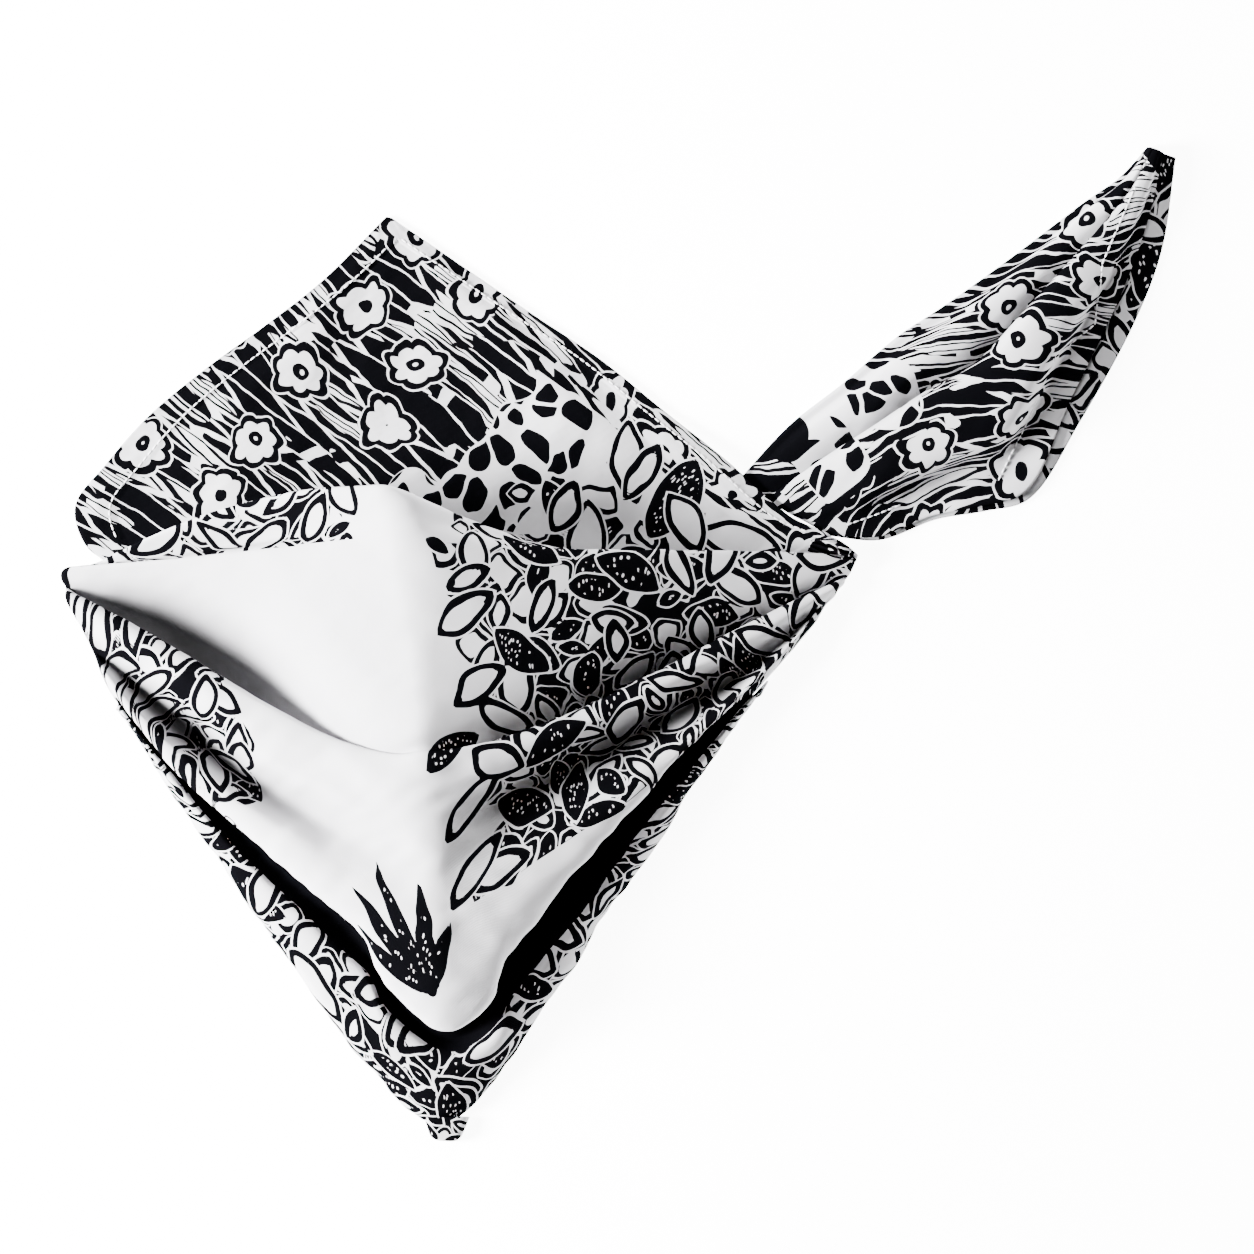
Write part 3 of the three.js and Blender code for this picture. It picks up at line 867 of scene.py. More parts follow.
# The fold lines of the front drape, from the inner facing's edge down to the foot of the rim
DRAPE_FOLDS = (
    FoldLine(
        "facing_end", 8, (-79.5, 51, 34),
        ((-186, 26, 2.3), (-137.5, 43.5, 10)),
        ((77, 29.5, 2.3), (-8, 29, 9)),
    ),
    FoldLine(
        "inner_crest", 9, (-81, 56, 50),
        ((-191, 28, 5), (-139.5, 49.5, 24)),
        ((79, 30, 3.5), (-8, 31.5, 13)),
    ),
    FoldLine(
        "inner_dip", 10, (-78.5, 46.5, 52),
        ((-196.5, 27.5, 5), (-139.5, 36, 17)),
        ((82, 30.5, 5), (-7.5, 32, 20)),
    ),
    FoldLine(
        "neckline", 16, (-76.5, 36, 53),
        ((-202, 27, 8), (-157, 30.5, 18), (-115, 34, 34)),
        ((83.5, 31, 7), (30, 33, 18.5), (-21.5, 32, 37)),
    ),
    FoldLine(
        "upper_belly", 12, (-72.5, -2.5, 50),
        ((-203, 25.5, 7), (-170, 25.5, 14), (-138, 20, 24), (-104, 5, 39)),
        ((82.5, 28, 7), (32, 19, 19), (-20, 8, 38)),
    ),
    FoldLine(
        "upper_brow", 8, (-71.5, -22, 47),
        ((-202.5, 23, 6), (-170, 21, 11), (-138, 11, 20), (-104, -10, 35.5)),
        ((81.5, 26, 6), (30, 6.5, 15), (-21, -12, 32)),
    ),
    FoldLine(
        "upper_fall", 6, (-71.5, -31, 44.5),
        ((-202, 21.5, 4), (-171, 11.5, 2.2), (-139, -4, 8), (-104.5, -26.5, 26.5)),
        ((81, 24.7, 4.4), (28.5, -1, 8), (-21.5, -22.5, 23)),
    ),
    FoldLine(
        "upper_pocket", 8, (-71.5, -37.5, 40.5),
        ((-202, 20, 2.6), (-172, -3, 0.9), (-140.5, -22, 6.5), (-105, -37.5, 23)),
        ((80.5, 23.5, 3.2), (27.5, -6, 4), (-22, -30.5, 16)),
    ),
    FoldLine(
        "middle_edge", 6, (-71, -40, 42),
        ((-201.5, 18.5, 7), (-169, 1.6, 14.5), (-136.5, -17.4, 22), (-103.5, -34.6, 28.5)),
        ((79.5, 22.5, 6.5), (28.5, -2.2, 15.5), (-21.5, -26.6, 26)),
    ),
    FoldLine(
        "middle_crest", 10, (-70, -47, 42),
        ((-201, 16, 8.5), (-160, -9.5, 20), (-116.5, -35.5, 28)),
        ((77.5, 20.5, 8), (31, -6, 18.5), (-20.5, -31.5, 29)),
    ),
    FoldLine(
        "middle_low", 10, (-69, -62, 39.5),
        ((-195.5, 6, 6.5), (-158.5, -18.5, 15.5), (-117, -48, 25)),
        ((76, 18, 6.5), (29, -13.5, 14), (-21, -38.5, 25)),
    ),
    FoldLine(
        "middle_pocket", 14, (-68.5, -75.5, 37),
        ((-192, -3.5, 2.2), (-160, -31, 1.0), (-119, -58.5, 13)),
        ((73.5, 14.5, 3.2), (28.5, -21, 4), (-22, -48, 15)),
    ),
    FoldLine(
        "lower_crest", 18, (-67, -105, 34),
        ((-188.5, -10, 7.5), (-157, -43, 14), (-115, -73.7, 24.5)),
        ((69, 8.5, 7.5), (28.5, -29.6, 13.5), (-21.5, -68.3, 24)),
    ),
    FoldLine(
        "lower_lip", 5, (-65, -144, 27),
        ((-184, -19, 6), (-144.5, -62.8, 12.5), (-105, -95.6, 20)),
        ((46, -18, 6), (7.7, -54, 12.5), (-30, -99.3, 20)), 5,
    ),
    FoldLine(
        "lip_under", 8, (-65, -142, 14),
        ((-183.5, -20, 4.5), (-142.5, -61.5, 6), (-103, -94, 10)),
        ((46, -18.5, 4.5), (6, -53, 6), (-31.5, -98, 10)), 5,
    ),
    FoldLine(
        "deep_valley", 9, (-65, -148, 6),
        ((-183, -22, 2.6), (-145, -66, 3.2), (-105.5, -101, 4)),
        ((47, -19.5, 2.6), (9.5, -59, 3.2), (-28, -107, 4)), 6,
    ),
    FoldLine(
        "rim_crest", 14, (-64, -155, 13),
        ((-183, -23.5, 5), (-144.5, -72, 7.5), (-105, -112, 10)),
        ((49, -18.5, 5), (16.8, -59, 7.5), (-25.5, -114, 9.5)), 5,
    ),
    FoldLine(
        "rim_side", 5, (-64, -176, 6),
        ((-183.5, -24, 3.5), (-147, -75.5, 4.5), (-106, -133, 5)),
        ((51, -16, 3.5), (19.5, -60, 4.5), (-18, -113.5, 5)), 1.5,
    ),
    FoldLine(
        "rim_foot", 0, (-64, -180, 0.8),
        ((-184, -24, 0.8), (-148, -77.5, 0.8), (-106.5, -136, 0.8)),
        ((53, -14, 0.8), (20.8, -60, 0.8), (-17, -115.5, 0.8)), 1.5,
    ),
)


@dataclass(frozen=True)
class PrintEdge:
    """Where the leaves begin on the drape, as shares from the ridge (0) to each side (1)."""

    fold: str
    past: float
    left: float
    right: float


@dataclass
class FrontDrape:
    """The pleated front layer: inner facing, neckline, three tiers of folds and the rim."""

    half_columns: int = 114
    roll_columns: int = 4
    side_roll: float = 1.4
    foot: float = 0.8
    clear: float = 0.06
    half_width: float = 185.0
    ridge_width: float = 0.045
    ridge_rounds: int = 24
    fold_width: float = 6.0
    panel_share: float = 0.97
    corner_share: float = 0.990
    left_out: tuple[float, float] = (-0.886, -0.464)
    right_out: tuple[float, float] = (0.83, -0.56)
    folds: tuple[FoldLine, ...] = DRAPE_FOLDS
    leaf_layers: tuple[LeafScatter, ...] = (
        LeafScatter(10, 21, 1500, 0.34, 0.5),
        LeafScatter(12, 23, 520, 0.30, 3.0),
        LeafScatter(17, 27, 260, 0.22, 9.0),
    )
    print_edges: tuple[PrintEdge, ...] = (
        PrintEdge("facing_end", 0.0, 0.12, 0.14),
        PrintEdge("inner_dip", 0.80, 0.16, 0.14),
        PrintEdge("inner_dip", 0.95, 1.30, 0.02),
        PrintEdge("upper_belly", 0.0, 1.30, 0.10),
        PrintEdge("upper_brow", 0.8, 1.30, 0.20),
        PrintEdge("upper_pocket", 0.85, 1.30, 0.22),
        PrintEdge("middle_edge", 0.0, 0.54, 0.20),
        PrintEdge("middle_low", 0.0, 0.48, 0.14),
        PrintEdge("middle_pocket", 0.0, 0.42, 0.20),
        PrintEdge("lower_crest", 0.0, 0.50, 0.10),
        PrintEdge("lower_crest", 0.30, 0.62, 0.52),
        PrintEdge("lower_crest", 0.80, 0.66, 0.80),
        PrintEdge("lower_lip", 0.0, 0.70, 0.90),
        PrintEdge("lip_under", 0.0, 0.70, 0.90),
        PrintEdge("deep_valley", 0.6, 0.0, 0.0),
        PrintEdge("rim_foot", 0.0, 0.0, 0.0),
    )

    def number(self, name: str, past: float = 0.0) -> float:
        """A fold's running number, plus how far past it towards the next fold."""
        return [fold.name for fold in self.folds].index(name) + past

    def steps(self) -> list[int]:
        """How many rows lie between each fold line and the next."""
        return [fold.steps for fold in self.folds[:-1]]

    def half(self, stations: tuple[Station, ...], ridge: Station, blunt: float) -> Array:
        """One half of a fold line, from its side to just before the ridge, near which it is widened."""
        share = np.arange(self.half_columns) / self.half_columns
        keys = np.array([*stations, ridge], float)
        near = soft_step((share - 0.76) / 0.24)
        widen = 4 * near * (1 - near) * blunt * np.sign(keys[0, 0] - ridge[0])
        x = along(keys[:, 0], share) + widen
        return np.stack([x, along(keys[:, 1], share), climb(keys[:, 2], share)], axis=-1)

    def rolled_side(self, end: Station, out: tuple[float, float]) -> Array:
        """A quarter turn from the end of a fold line outwards and down to the surface."""
        turn = np.arange(self.roll_columns, 0, -1) / self.roll_columns * math.pi / 2
        reach = self.side_roll * np.sin(turn) * min(1.0, (end[2] - self.foot) / 5)
        height = self.foot + (end[2] - self.foot) * np.cos(turn)
        return np.stack([end[0] + out[0] * reach, end[1] + out[1] * reach, height], axis=-1)

    def line(self, fold: FoldLine) -> Array:
        """A whole fold line, from the left foot over the ridge to the right foot."""
        left = self.half(fold.left, fold.ridge, fold.blunt)
        right = self.half(fold.right, fold.ridge, fold.blunt)
        ridge = np.array([fold.ridge], float)
        feet = self.rolled_side(fold.left[0], self.left_out), self.rolled_side(fold.right[0], self.right_out)
        return np.concatenate([feet[0], left, ridge, right[::-1], feet[1][::-1]])

    def surface(self) -> Array:
        """The middle surface: rows through all fold lines, rounded, and clear of what lies below."""
        lines = np.array([self.line(fold) for fold in self.folds])
        grid = self.relief(self.rounded(through(lines, self.steps())))
        rows, across = self.shares()
        over_panel = (rows < self.number("deep_valley")) & (np.abs(across) < self.panel_share)
        lowest = np.where(over_panel, 1.5 * CLOTH, CLOTH / 2) + self.clear
        grid[..., 2] = np.maximum(grid[..., 2], lowest)
        return grid

    def shares(self) -> tuple[Array, ...]:
        """For each grid point, its running fold number and its signed share from the ridge to the side."""
        half = np.arange(self.half_columns) / self.half_columns
        left = np.concatenate([np.zeros(self.roll_columns), half])
        across = np.concatenate([left - 1, [0.0], 1 - left[::-1]])
        return tuple(np.meshgrid(fold_numbers(self.steps()), across, indexing="ij"))

    def rounded(self, grid: Array) -> Array:
        """Softens the kink at the ridge, least in the middle tier and the rim."""
        rows, across = self.shares()
        near = np.exp(-((across / self.ridge_width) ** 2))
        upper = 0.30 + 0.70 * soft_step((self.number("lower_crest") - rows) / 3)
        tip = 2.5 * soft_step((rows - self.number("lower_crest", 0.3)) / 0.7)
        middle = soft_step(rows - self.number("neckline", 0.2)) * soft_step(self.number("middle_low") - rows)
        weight = near * upper * (1 - 0.78 * middle) * (1 + tip)
        grid = smooth_rows(grid, np.minimum(weight, 1.0), self.ridge_rounds, 1)
        return smooth_rows(grid, np.full(grid.shape[:2], 0.5), 1, 0)

    def relief(self, grid: Array) -> Array:
        """Adds slack: long soft waves along the folds and small creases towards the corners."""
        rows, across = self.shares()
        x, y = grid[..., 0], grid[..., 1]
        calm = soft_step((1 - np.abs(across)) * 12)
        long_waves = 0.55 * ripples(x, y, 46, 11, 2.0, -35) + 0.35 * ripples(x, y, 30, 12, 2.4, 35)
        small = 0.20 * ripples(x, y, 13, 13, 3.0, -30) + 0.15 * ripples(x, y, 9, 14, 3.0, 32)
        lower = 0.35 + 0.65 * soft_step((rows - self.number("middle_edge")) / 1.5)
        return grid + grid_normals(grid) * (calm * (long_waves * 0.6 + small) * lower)[..., None]

    def cloth_coordinates(self, grid: Array) -> Array:
        """Flat coordinates: u follows the plan, v adds up the length down each column.

        Each step down a column adds the root of its squared length less its squared sideways part.
        """
        step = np.diff(grid, axis=0)
        length = np.sqrt(np.maximum((step**2).sum(-1) - step[..., 0] ** 2, 0))
        run = np.concatenate([np.zeros((1, grid.shape[1])), np.cumsum(length, axis=0)])
        neck = sum(fold.steps for fold in self.folds[:3])
        run = run - run[neck] - grid[neck, :, 1]
        return np.stack([grid[..., 0] * 1.05, -run], axis=-1)

    def leaf_border(self, rows: Array, side: Side) -> Array:
        """The share from the ridge at which the leaves begin, at each running fold number."""
        at = [self.number(edge.fold, edge.past) for edge in self.print_edges]
        begins = [edge.left if side is Side.LEFT else edge.right for edge in self.print_edges]
        return np.interp(rows, at, begins)

    def sprig_leaves(self) -> list[Leaf]:
        """A twig of alternate leaves where the print meets the bare ground, and a fan of blades at the tip.

        The leaves stand 52 degrees to the left and right of a stem that sways as a sine.
        """
        twig = []
        lean, pitch, sway, width = 52, 13, 6, 12.5
        for k in range(9):
            side = (-1) ** k
            at = (-50.5 + sway * math.sin(1.1 * k) - 8 * side, -10 + pitch * k)
            twig.append(Leaf(at, 27.0 - k % 3, width, 90.0 + lean * side, k % 3 == 1))
        fan = []
        foot, blade = (-71.5, 128.5), 6.8
        for turn, length in ((14, 34), (38, 42), (60, 48), (83, 43), (106, 28)):
            reach, angle = length / 2 - 3, math.radians(turn)
            at = (foot[0] - reach * math.cos(angle), foot[1] - reach * math.sin(angle))
            fan.append(Leaf(at, length, blade, turn, True))
        return twig + fan

    def patch(self) -> ClothPatch:
        """The drape's surface with its flat coordinates, print zones and painted fold shade."""
        grid = self.surface()
        flat = self.cloth_coordinates(grid)
        rows, across = self.shares()
        left = across < 0
        border = np.where(left, self.leaf_border(rows, Side.LEFT), self.leaf_border(rows, Side.RIGHT))
        wander = 4.0 * ripples(flat[..., 0], flat[..., 1], 38, 21)
        leaf_zone = (border - np.abs(across)) * self.half_width + wander
        leaf_zone = np.where(rows > self.number("deep_valley", 0.75), -30.0, leaf_zone)
        zones = leaf_zones(flat, leaf_zone + 5, self.leaf_layers, 61)
        bare = left & (rows > self.number("inner_dip", 0.9)) & (rows < self.number("upper_pocket", 0.8))
        hollow = left & (rows < self.number("deep_valley"))
        for k in range(len(self.leaf_layers)):
            zones[f"leaf_{k}"] = np.where(bare, FAR, zones[f"leaf_{k}"])
            zones[f"leaf_{k}_ink"] = np.where(hollow, 0.0, zones[f"leaf_{k}_ink"])
        sprig, zones["sprig_ink"] = leaf_fields(self.sprig_leaves(), flat[..., 0], -flat[..., 1])
        shown = (rows > self.number("neckline")) & (rows < self.number("lower_lip", 0.3))
        zones["sprig"] = np.where(shown, sprig, FAR)
        valley = np.maximum(self.number("lower_lip", 0.35) - rows, rows - self.number("deep_valley", 0.7))
        brow = np.abs(rows - self.number("upper_brow")) * self.fold_width - 14
        corner = np.maximum((self.corner_share + across) * self.half_width, brow)
        zones |= {"leaf_zone": leaf_zone, "dark_zone": np.minimum(valley * self.fold_width, corner)}
        # painted shade, darkest at the bottoms of the pockets between folds
        zones["depth"] = painted_shade_depth(grid[..., 2], 0)
        return ClothPatch(grid, flat, zones)

    def build(self, cotton: Material) -> Piece:
        piece = show("front_drape_cloth", self.patch().to_mesh("front_drape_cloth"), cotton)
        thicken(piece, CLOTH)
        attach(piece, "root")
        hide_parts("front_drape")
        return piece


# Back panel


@dataclass(frozen=True)
class PanelSection:
    """One section across the panel, with the shares of flap lift and wave that it takes."""

    left: tuple[float, float]
    right: tuple[float, float]
    lift: float
    wave: float
    steps: int


@dataclass
class BackPanel:
    """The flat back layer, whose corner stands out as the hemmed flap."""

    columns: int = 230
    hem_left: float = 14.0
    hem_right: float = 8.0
    hem_extra: float = 0.55
    flap_lift: float = 3.8
    lift_reach: float = 26.0
    flap_wave: float = 2.2
    seam_inset: float = 1.2
    seam_least: float = 12.0
    hem_slope: float = 0.9
    reed_angle: float = -38.0
    leaf_layers: tuple[LeafScatter, ...] = (
        LeafScatter(17, 34, 900, 0.28, 1.2),
        LeafScatter(15, 26, 160, 0.45, 7.0),
    )
    sections: tuple[PanelSection, ...] = (
        PanelSection((-86, 155.5), (-84, 155), 0, 0, 30),
        PanelSection((-109.5, 132), (-59, 138), 0, 0.3, 22),
        PanelSection((-132, 114.5), (-32, 119.5), 0, 0.8, 20),
        PanelSection((-152, 100), (-8, 103.5), 0, 1, 20),
        PanelSection((-172.5, 83), (15.5, 84.5), 0.2, 1, 20),
        PanelSection((-188.5, 65), (37.5, 67), 1, 1, 20),
        PanelSection((-199.5, 50), (61.5, 46), 1, 0.6, 14),
        PanelSection((-196, 36), (76.5, 38), 1, 0.2, 8),
        PanelSection((-182.6, 23.4), (66, 28.5), 0, 0, 6),
        PanelSection((-180.8, -14), (54.6, -5), 0, 0, 6),
        PanelSection((-152.6, -58), (34, -38), 0, 0, 6),
        PanelSection((-116, -114), (-10.8, -100.2), 0, 0, 6),
        PanelSection((-90, -149), (-37.6, -138.6), 0, 0, 6),
        PanelSection((-68.5, -167), (-60, -166.8), 0, 0, 0),
    )

    def edges(self) -> tuple[Array, Array, Array, Array]:
        """Both edges at every row, and the lift and wave shares there."""
        steps = [section.steps for section in self.sections[:-1]]
        keys = np.array([[(*s.left, s.lift), (*s.right, s.lift)] for s in self.sections], float)
        sides = through(keys, steps)
        shares = np.array([(s.lift, s.wave) for s in self.sections], float)
        lift, wave = (np.interp(fold_numbers(steps), np.arange(len(shares)), shares[:, k]) for k in (0, 1))
        return sides[:, 0], sides[:, 1], lift, wave

    def height(self, share: Array, width: Array, lift: Array, wave: Array) -> Array:
        """Height of the underside: lifted over the root of the tail, with two soft waves across."""
        from_right = (1 - share) * width
        raised = soft_step(1.6 * (1 - from_right / self.lift_reach)) * soft_step((share - 0.5) * 2.5)
        raised = self.flap_lift * lift * raised
        waved = self.flap_wave * wave * np.maximum(0, np.sin(share * math.pi * 3.2 - 0.6)) ** 2
        return np.maximum(raised, waved * soft_step(share * 6) * soft_step((1 - share) * 6))

    def patch(self) -> tuple[ClothPatch, Array]:
        """The panel's upper surface, and how far each point stands above its underside."""
        a, b, lift, wave = self.edges()
        width = np.linalg.norm(b[:, :2] - a[:, :2], axis=-1)[:, None]
        share = np.linspace(0, 1, self.columns)[None, :]
        grid = a[:, None, :] + (b - a)[:, None, :] * share[..., None]
        under = self.height(share, width, lift[:, None], wave[:, None])
        x, y = grid[..., 0].copy(), grid[..., 1].copy()
        flap = soft_step((y - 20) / 12)
        rim = np.minimum(share, 1 - share) * width
        crease = 0.30 * ripples(x, y, 26, 31, 1.6, 40) + 0.12 * ripples(x, y, 10, 32, 2.4, 45)
        under = under + np.maximum(0, flap * soft_step(rim / 9) * (0.35 + crease))
        hems = ((share * width, self.hem_left), ((1 - share) * width, self.hem_right))
        hem = np.maximum(*(1 - soft_step((inset - depth) / self.hem_slope) for inset, depth in hems))
        pucker = 0.07 * ripples(x, y, 5, 33)
        wall = CLOTH + flap * hem * (self.hem_extra + pucker)
        grid[..., 2] = under + wall
        return ClothPatch(grid, *self.print_fields(x, y)), wall

    def print_fields(self, x: Array, y: Array) -> tuple[Array, dict[str, Array]]:
        """Flat coordinates and print zones. u runs along the reeds."""
        from_left = (x + 85) * 0.674 - (y - 156) * 0.739
        from_right = (156 - y) * 0.813 - (x + 85) * 0.582
        u, v = turned(x, y, self.reed_angle)
        flat = np.stack([u + 40, v], axis=-1)
        wander = 5 * ripples(x, y, 30, 34)
        streak = np.minimum(from_left - 86 + wander, from_right - 17 + wander * 0.5)
        leaf = np.maximum(112 - from_left + wander, 16 - from_right)
        seed = np.maximum(np.maximum(84 - from_left + wander, from_left - 114 + wander), 15 - from_right)
        zones = leaf_zones(flat, leaf + 5, self.leaf_layers, 71)
        zones |= {"leaf_zone": leaf, "streak_zone": streak, "berry_zone": seed}
        zones["leaf_share"] = np.where(y > 40, 0.15, 1.0)
        return flat, zones

    def build(self, cotton: Material) -> Piece:
        """Makes the panel as a closed sheet: its upper grid and its underside, joined at the edges."""
        patch, wall = self.patch()
        mesh = closed_sheet("back_panel_cloth", patch, wall)
        piece = show("back_panel_cloth", mesh, cotton)
        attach(piece, "root")
        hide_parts("back_panel")
        return piece

    def stitches(self, thread: Material) -> Piece:
        """Running stitches along both hems, a little inside the turned edge."""
        grid = self.patch()[0].grid
        normal = upward_normals(grid)
        flap_rows = sum(section.steps for section in self.sections[:7])
        a, b, _, _ = self.edges()
        width = np.linalg.norm(b[:, :2] - a[:, :2], axis=-1)
        last = self.columns - 1
        places = []
        for hem, side in ((self.hem_left, Side.LEFT), (self.hem_right, Side.RIGHT)):
            inset = hem - self.seam_inset
            share = np.clip(inset / np.maximum(width, 1e-6), 0, 1)
            share = share if side is Side.LEFT else 1 - share
            rows = np.nonzero((width > inset + self.seam_least) & (np.arange(len(width)) < flap_rows))[0]
            at = share[rows] * last
            low = np.floor(at).astype(int)
            mix = (at - low)[:, None]
            line = grid[rows, low] * (1 - mix) + grid[rows, np.minimum(low + 1, last)] * mix
            places.append((line, normal[rows, np.rint(at).astype(int)]))
        return Stitches().build("flap_stitches", places, thread)


# Tie tail


@dataclass(frozen=True)
class TailSection:
    """One section of the tail, with the heights of the upper layer's lobe, valley and crest."""

    fold: tuple[float, float]
    edge: tuple[float, float]
    hem: float
    lobe: float
    valley: float
    crest: float


@dataclass
class TieTail:
    """The corner of the cloth folded in two along its upper edge."""

    steps: int = 22
    columns: int = 230
    wall: float = 1.2
    reed_angle: float = 7.0
    fold_station: int = 6
    unfolded: float = 1.3
    seam_lift: float = 0.25
    leaf_layers: tuple[LeafScatter, ...] = (
        LeafScatter(16, 30, 500, 0.24, 0.7),
        LeafScatter(18, 30, 90, 0.2, 8.0),
    )
    seams: tuple[tuple[tuple[float, float], ...], ...] = (
        ((190.9, 176.0), (181.0, 153.0), (174.5, 138.0), (172.3, 116.0), (157.0, 104.0), (148.2, 82.0),
         (136.1, 57.0)),
        ((80.3, 42.5), (92.0, 46.5), (104.4, 51.5)),
    )
    sections: tuple[TailSection, ...] = (
        TailSection((42, 58), (76, 39), 0.97, 2.4, 2.4, 2.4),
        TailSection((61.5, 79), (94, 37.5), 0.97, 6, 3.6, 9.5),
        TailSection((80.5, 94), (114.5, 45), 0.97, 8.5, 3.6, 13),
        TailSection((101, 111.5), (132, 48), 0.97, 10, 3.8, 15),
        TailSection((117, 122), (148.5, 52.5), 0.96, 10.5, 4, 16),
        TailSection((141.5, 139.5), (167, 80.5), 0.86, 9.5, 5, 15),
        TailSection((168.5, 160), (187.5, 118), 0.74, 8, 7, 9),
        TailSection((182, 169.5), (197, 143.5), 0.62, 7, 5, 8),
        TailSection((192, 180.5), (202, 177), 0.5, 5, 4.5, 5),
    )

    def profile(self, s: TailSection) -> Array:
        """Stations across a section as [share from fold to edge, height], from the under layer to the hem."""
        under = self.wall / 2 + 0.08
        top = 1.5 * self.wall + 0.5
        low, high = 0.15, 0.85
        return np.array(
            [
                (1, under), (0.75, under), (0.5, under), (0.25, under), (0.05, under),
                (0.012, under + 0.3), (0, (under + top) / 2), (0.012, top - 0.2), (0.05, top + 0.3),
                (0.11 * s.hem, top * low + s.lobe * high), (0.21 * s.hem, s.lobe), (0.35 * s.hem, s.valley),
                (0.33 * s.hem, (s.valley + s.crest) / 2), (0.38 * s.hem, s.crest), (0.66 * s.hem, s.crest),
                (0.78 * s.hem, top + 0.8), (s.hem, top),
            ]
        )

    def line(self, section: TailSection) -> Array:
        """One section as points in space, on a smooth curve through its stations."""
        profile = self.profile(section)
        fold, edge = np.array(section.fold, float), np.array(section.edge, float)
        plan = fold + (edge - fold) * profile[:, :1]
        stations = np.concatenate([plan, profile[:, 1:]], axis=-1)
        spans = len(stations) - 1
        count = self.columns // spans
        return through(stations[:, None, :], [count] * spans)[:, 0]

    def surface(self) -> Array:
        """Rows through all sections, from the root to the tip."""
        lines = np.array([self.line(section) for section in self.sections])
        grid = through(lines, [self.steps] * (len(lines) - 1))
        x, y = grid[..., 0], grid[..., 1]
        upper = soft_step((np.arange(grid.shape[1]) / grid.shape[1] - 0.55) / 0.08)[None, :]
        slack = 0.45 * ripples(x, y, 34, 41, 2.6, 52) + 0.16 * ripples(x, y, 11, 42, 3.0, 50)
        grid[..., 2] += upper * (0.35 + np.maximum(slack, -0.3))
        return grid

    def patch(self) -> ClothPatch:
        """The tail's surface with its flat coordinates, which run on round the fold."""
        grid = self.surface()
        x, y = grid[..., 0], grid[..., 1]
        stations = len(self.profile(self.sections[0]))
        fold = grid.shape[1] * self.fold_station // (stations - 1)
        across = run_length(grid)
        across = across - across[:, fold, None]
        ahead = (grid[:, -1] - grid[:, fold])[:, None, :2]
        ahead = ahead / np.linalg.norm(ahead, axis=-1, keepdims=True)
        plan = ((grid[..., :2] - grid[:, fold, None, :2]) * ahead).sum(-1)
        hidden = self.unfolded * np.maximum(0, across - plan)
        u, v = turned(x + ahead[..., 0] * hidden, y + ahead[..., 1] * hidden, self.reed_angle)
        under = across < -1
        flat = np.where(under[..., None], np.stack([x + 560, y], axis=-1), np.stack([u + 300, v], axis=-1))
        return ClothPatch(grid, flat, self.print_zones(grid, flat, under))

    def print_zones(self, grid: Array, flat: Array, under: Array) -> dict[str, Array]:
        """Leaves on the under layer. On the upper one reeds, with rounds of seeds, bare cloth and ink.
        Painted shade in the folds.
        """
        x, y = grid[..., 0], grid[..., 1]
        wander = 3 * ripples(x, y, 26, 43)
        berries = np.minimum(np.hypot(x - 95, y - 89) - 13, np.hypot(x - 75, y - 67) - 12) + wander
        bare = 12 - np.hypot(x - 79, y - 84) + wander
        streak = np.maximum(np.maximum(bare, 1 - berries), -20)
        block = 9 * np.hypot((x - 61) / 8, (y - 76) / 10) - 9
        tip = np.hypot(x - 198, y - 175) - 8
        dark = np.minimum(block, tip) + wander * 0.5
        leaf = np.where(under, -20.0, 60.0)
        zones = leaf_zones(flat, leaf, self.leaf_layers, 81)
        # depth: painted shade, darker in the valley between the tail's folds
        zones |= {"leaf_zone": leaf, "depth": painted_shade_depth(grid[..., 2], 1)}
        upper = {"streak_zone": (9.0, streak), "berry_zone": (60.0, berries), "dark_zone": (60.0, dark)}
        return zones | {name: np.where(under, below, above) for name, (below, above) in upper.items()}

    def build(self, cotton: Material) -> Piece:
        piece = show("tie_tail_cloth", self.patch().to_mesh("tie_tail_cloth"), cotton)
        thicken(piece, self.wall)
        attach(piece, "root")
        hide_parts("tie_tail")
        return piece

    def stitches(self, thread: Material) -> Piece:
        """Running stitches along the seams, at the nearest grid point's height and normal."""
        grid = self.surface()
        grid[..., 2] += self.wall / 2
        upper = grid.shape[1] // 2
        points, normals = (values[:, upper:].reshape(-1, 3) for values in (grid, upward_normals(grid)))
        places = []
        for seam in self.seams:
            plan = np.array(seam)
            run = np.linspace(0, len(plan) - 1, 30 * (len(plan) - 1))
            x, y = (np.interp(run, np.arange(len(plan)), plan[:, k]) for k in (0, 1))
            apart = np.hypot(points[None, :, 0] - x[:, None], points[None, :, 1] - y[:, None])
            nearest = apart.argmin(axis=1)
            height = points[nearest, 2] + self.seam_lift
            places.append((np.stack([x, y, height], axis=-1), normals[nearest]))
        return Stitches().build("tail_stitches", places, thread)


# Corner gather and tip tuck


@dataclass(frozen=True)
class Lobe:
    """The plan and height of a small folded lobe, in millimetres and degrees."""

    centre: tuple[float, float]
    length: float
    width: float
    base: float
    height: float
    turn: float
    pleats: int = 0


def placed(lobe: Lobe, ahead: Array, across: Array, height: Array) -> Array:
    """Points of a lobe from shares of -1 to 1 along and across it, turned and moved to its place."""
    x, y = turned(ahead * lobe.length / 2, across * lobe.width / 2, -lobe.turn)
    return np.stack([lobe.centre[0] + x, lobe.centre[1] + y, lobe.base + height], axis=-1)


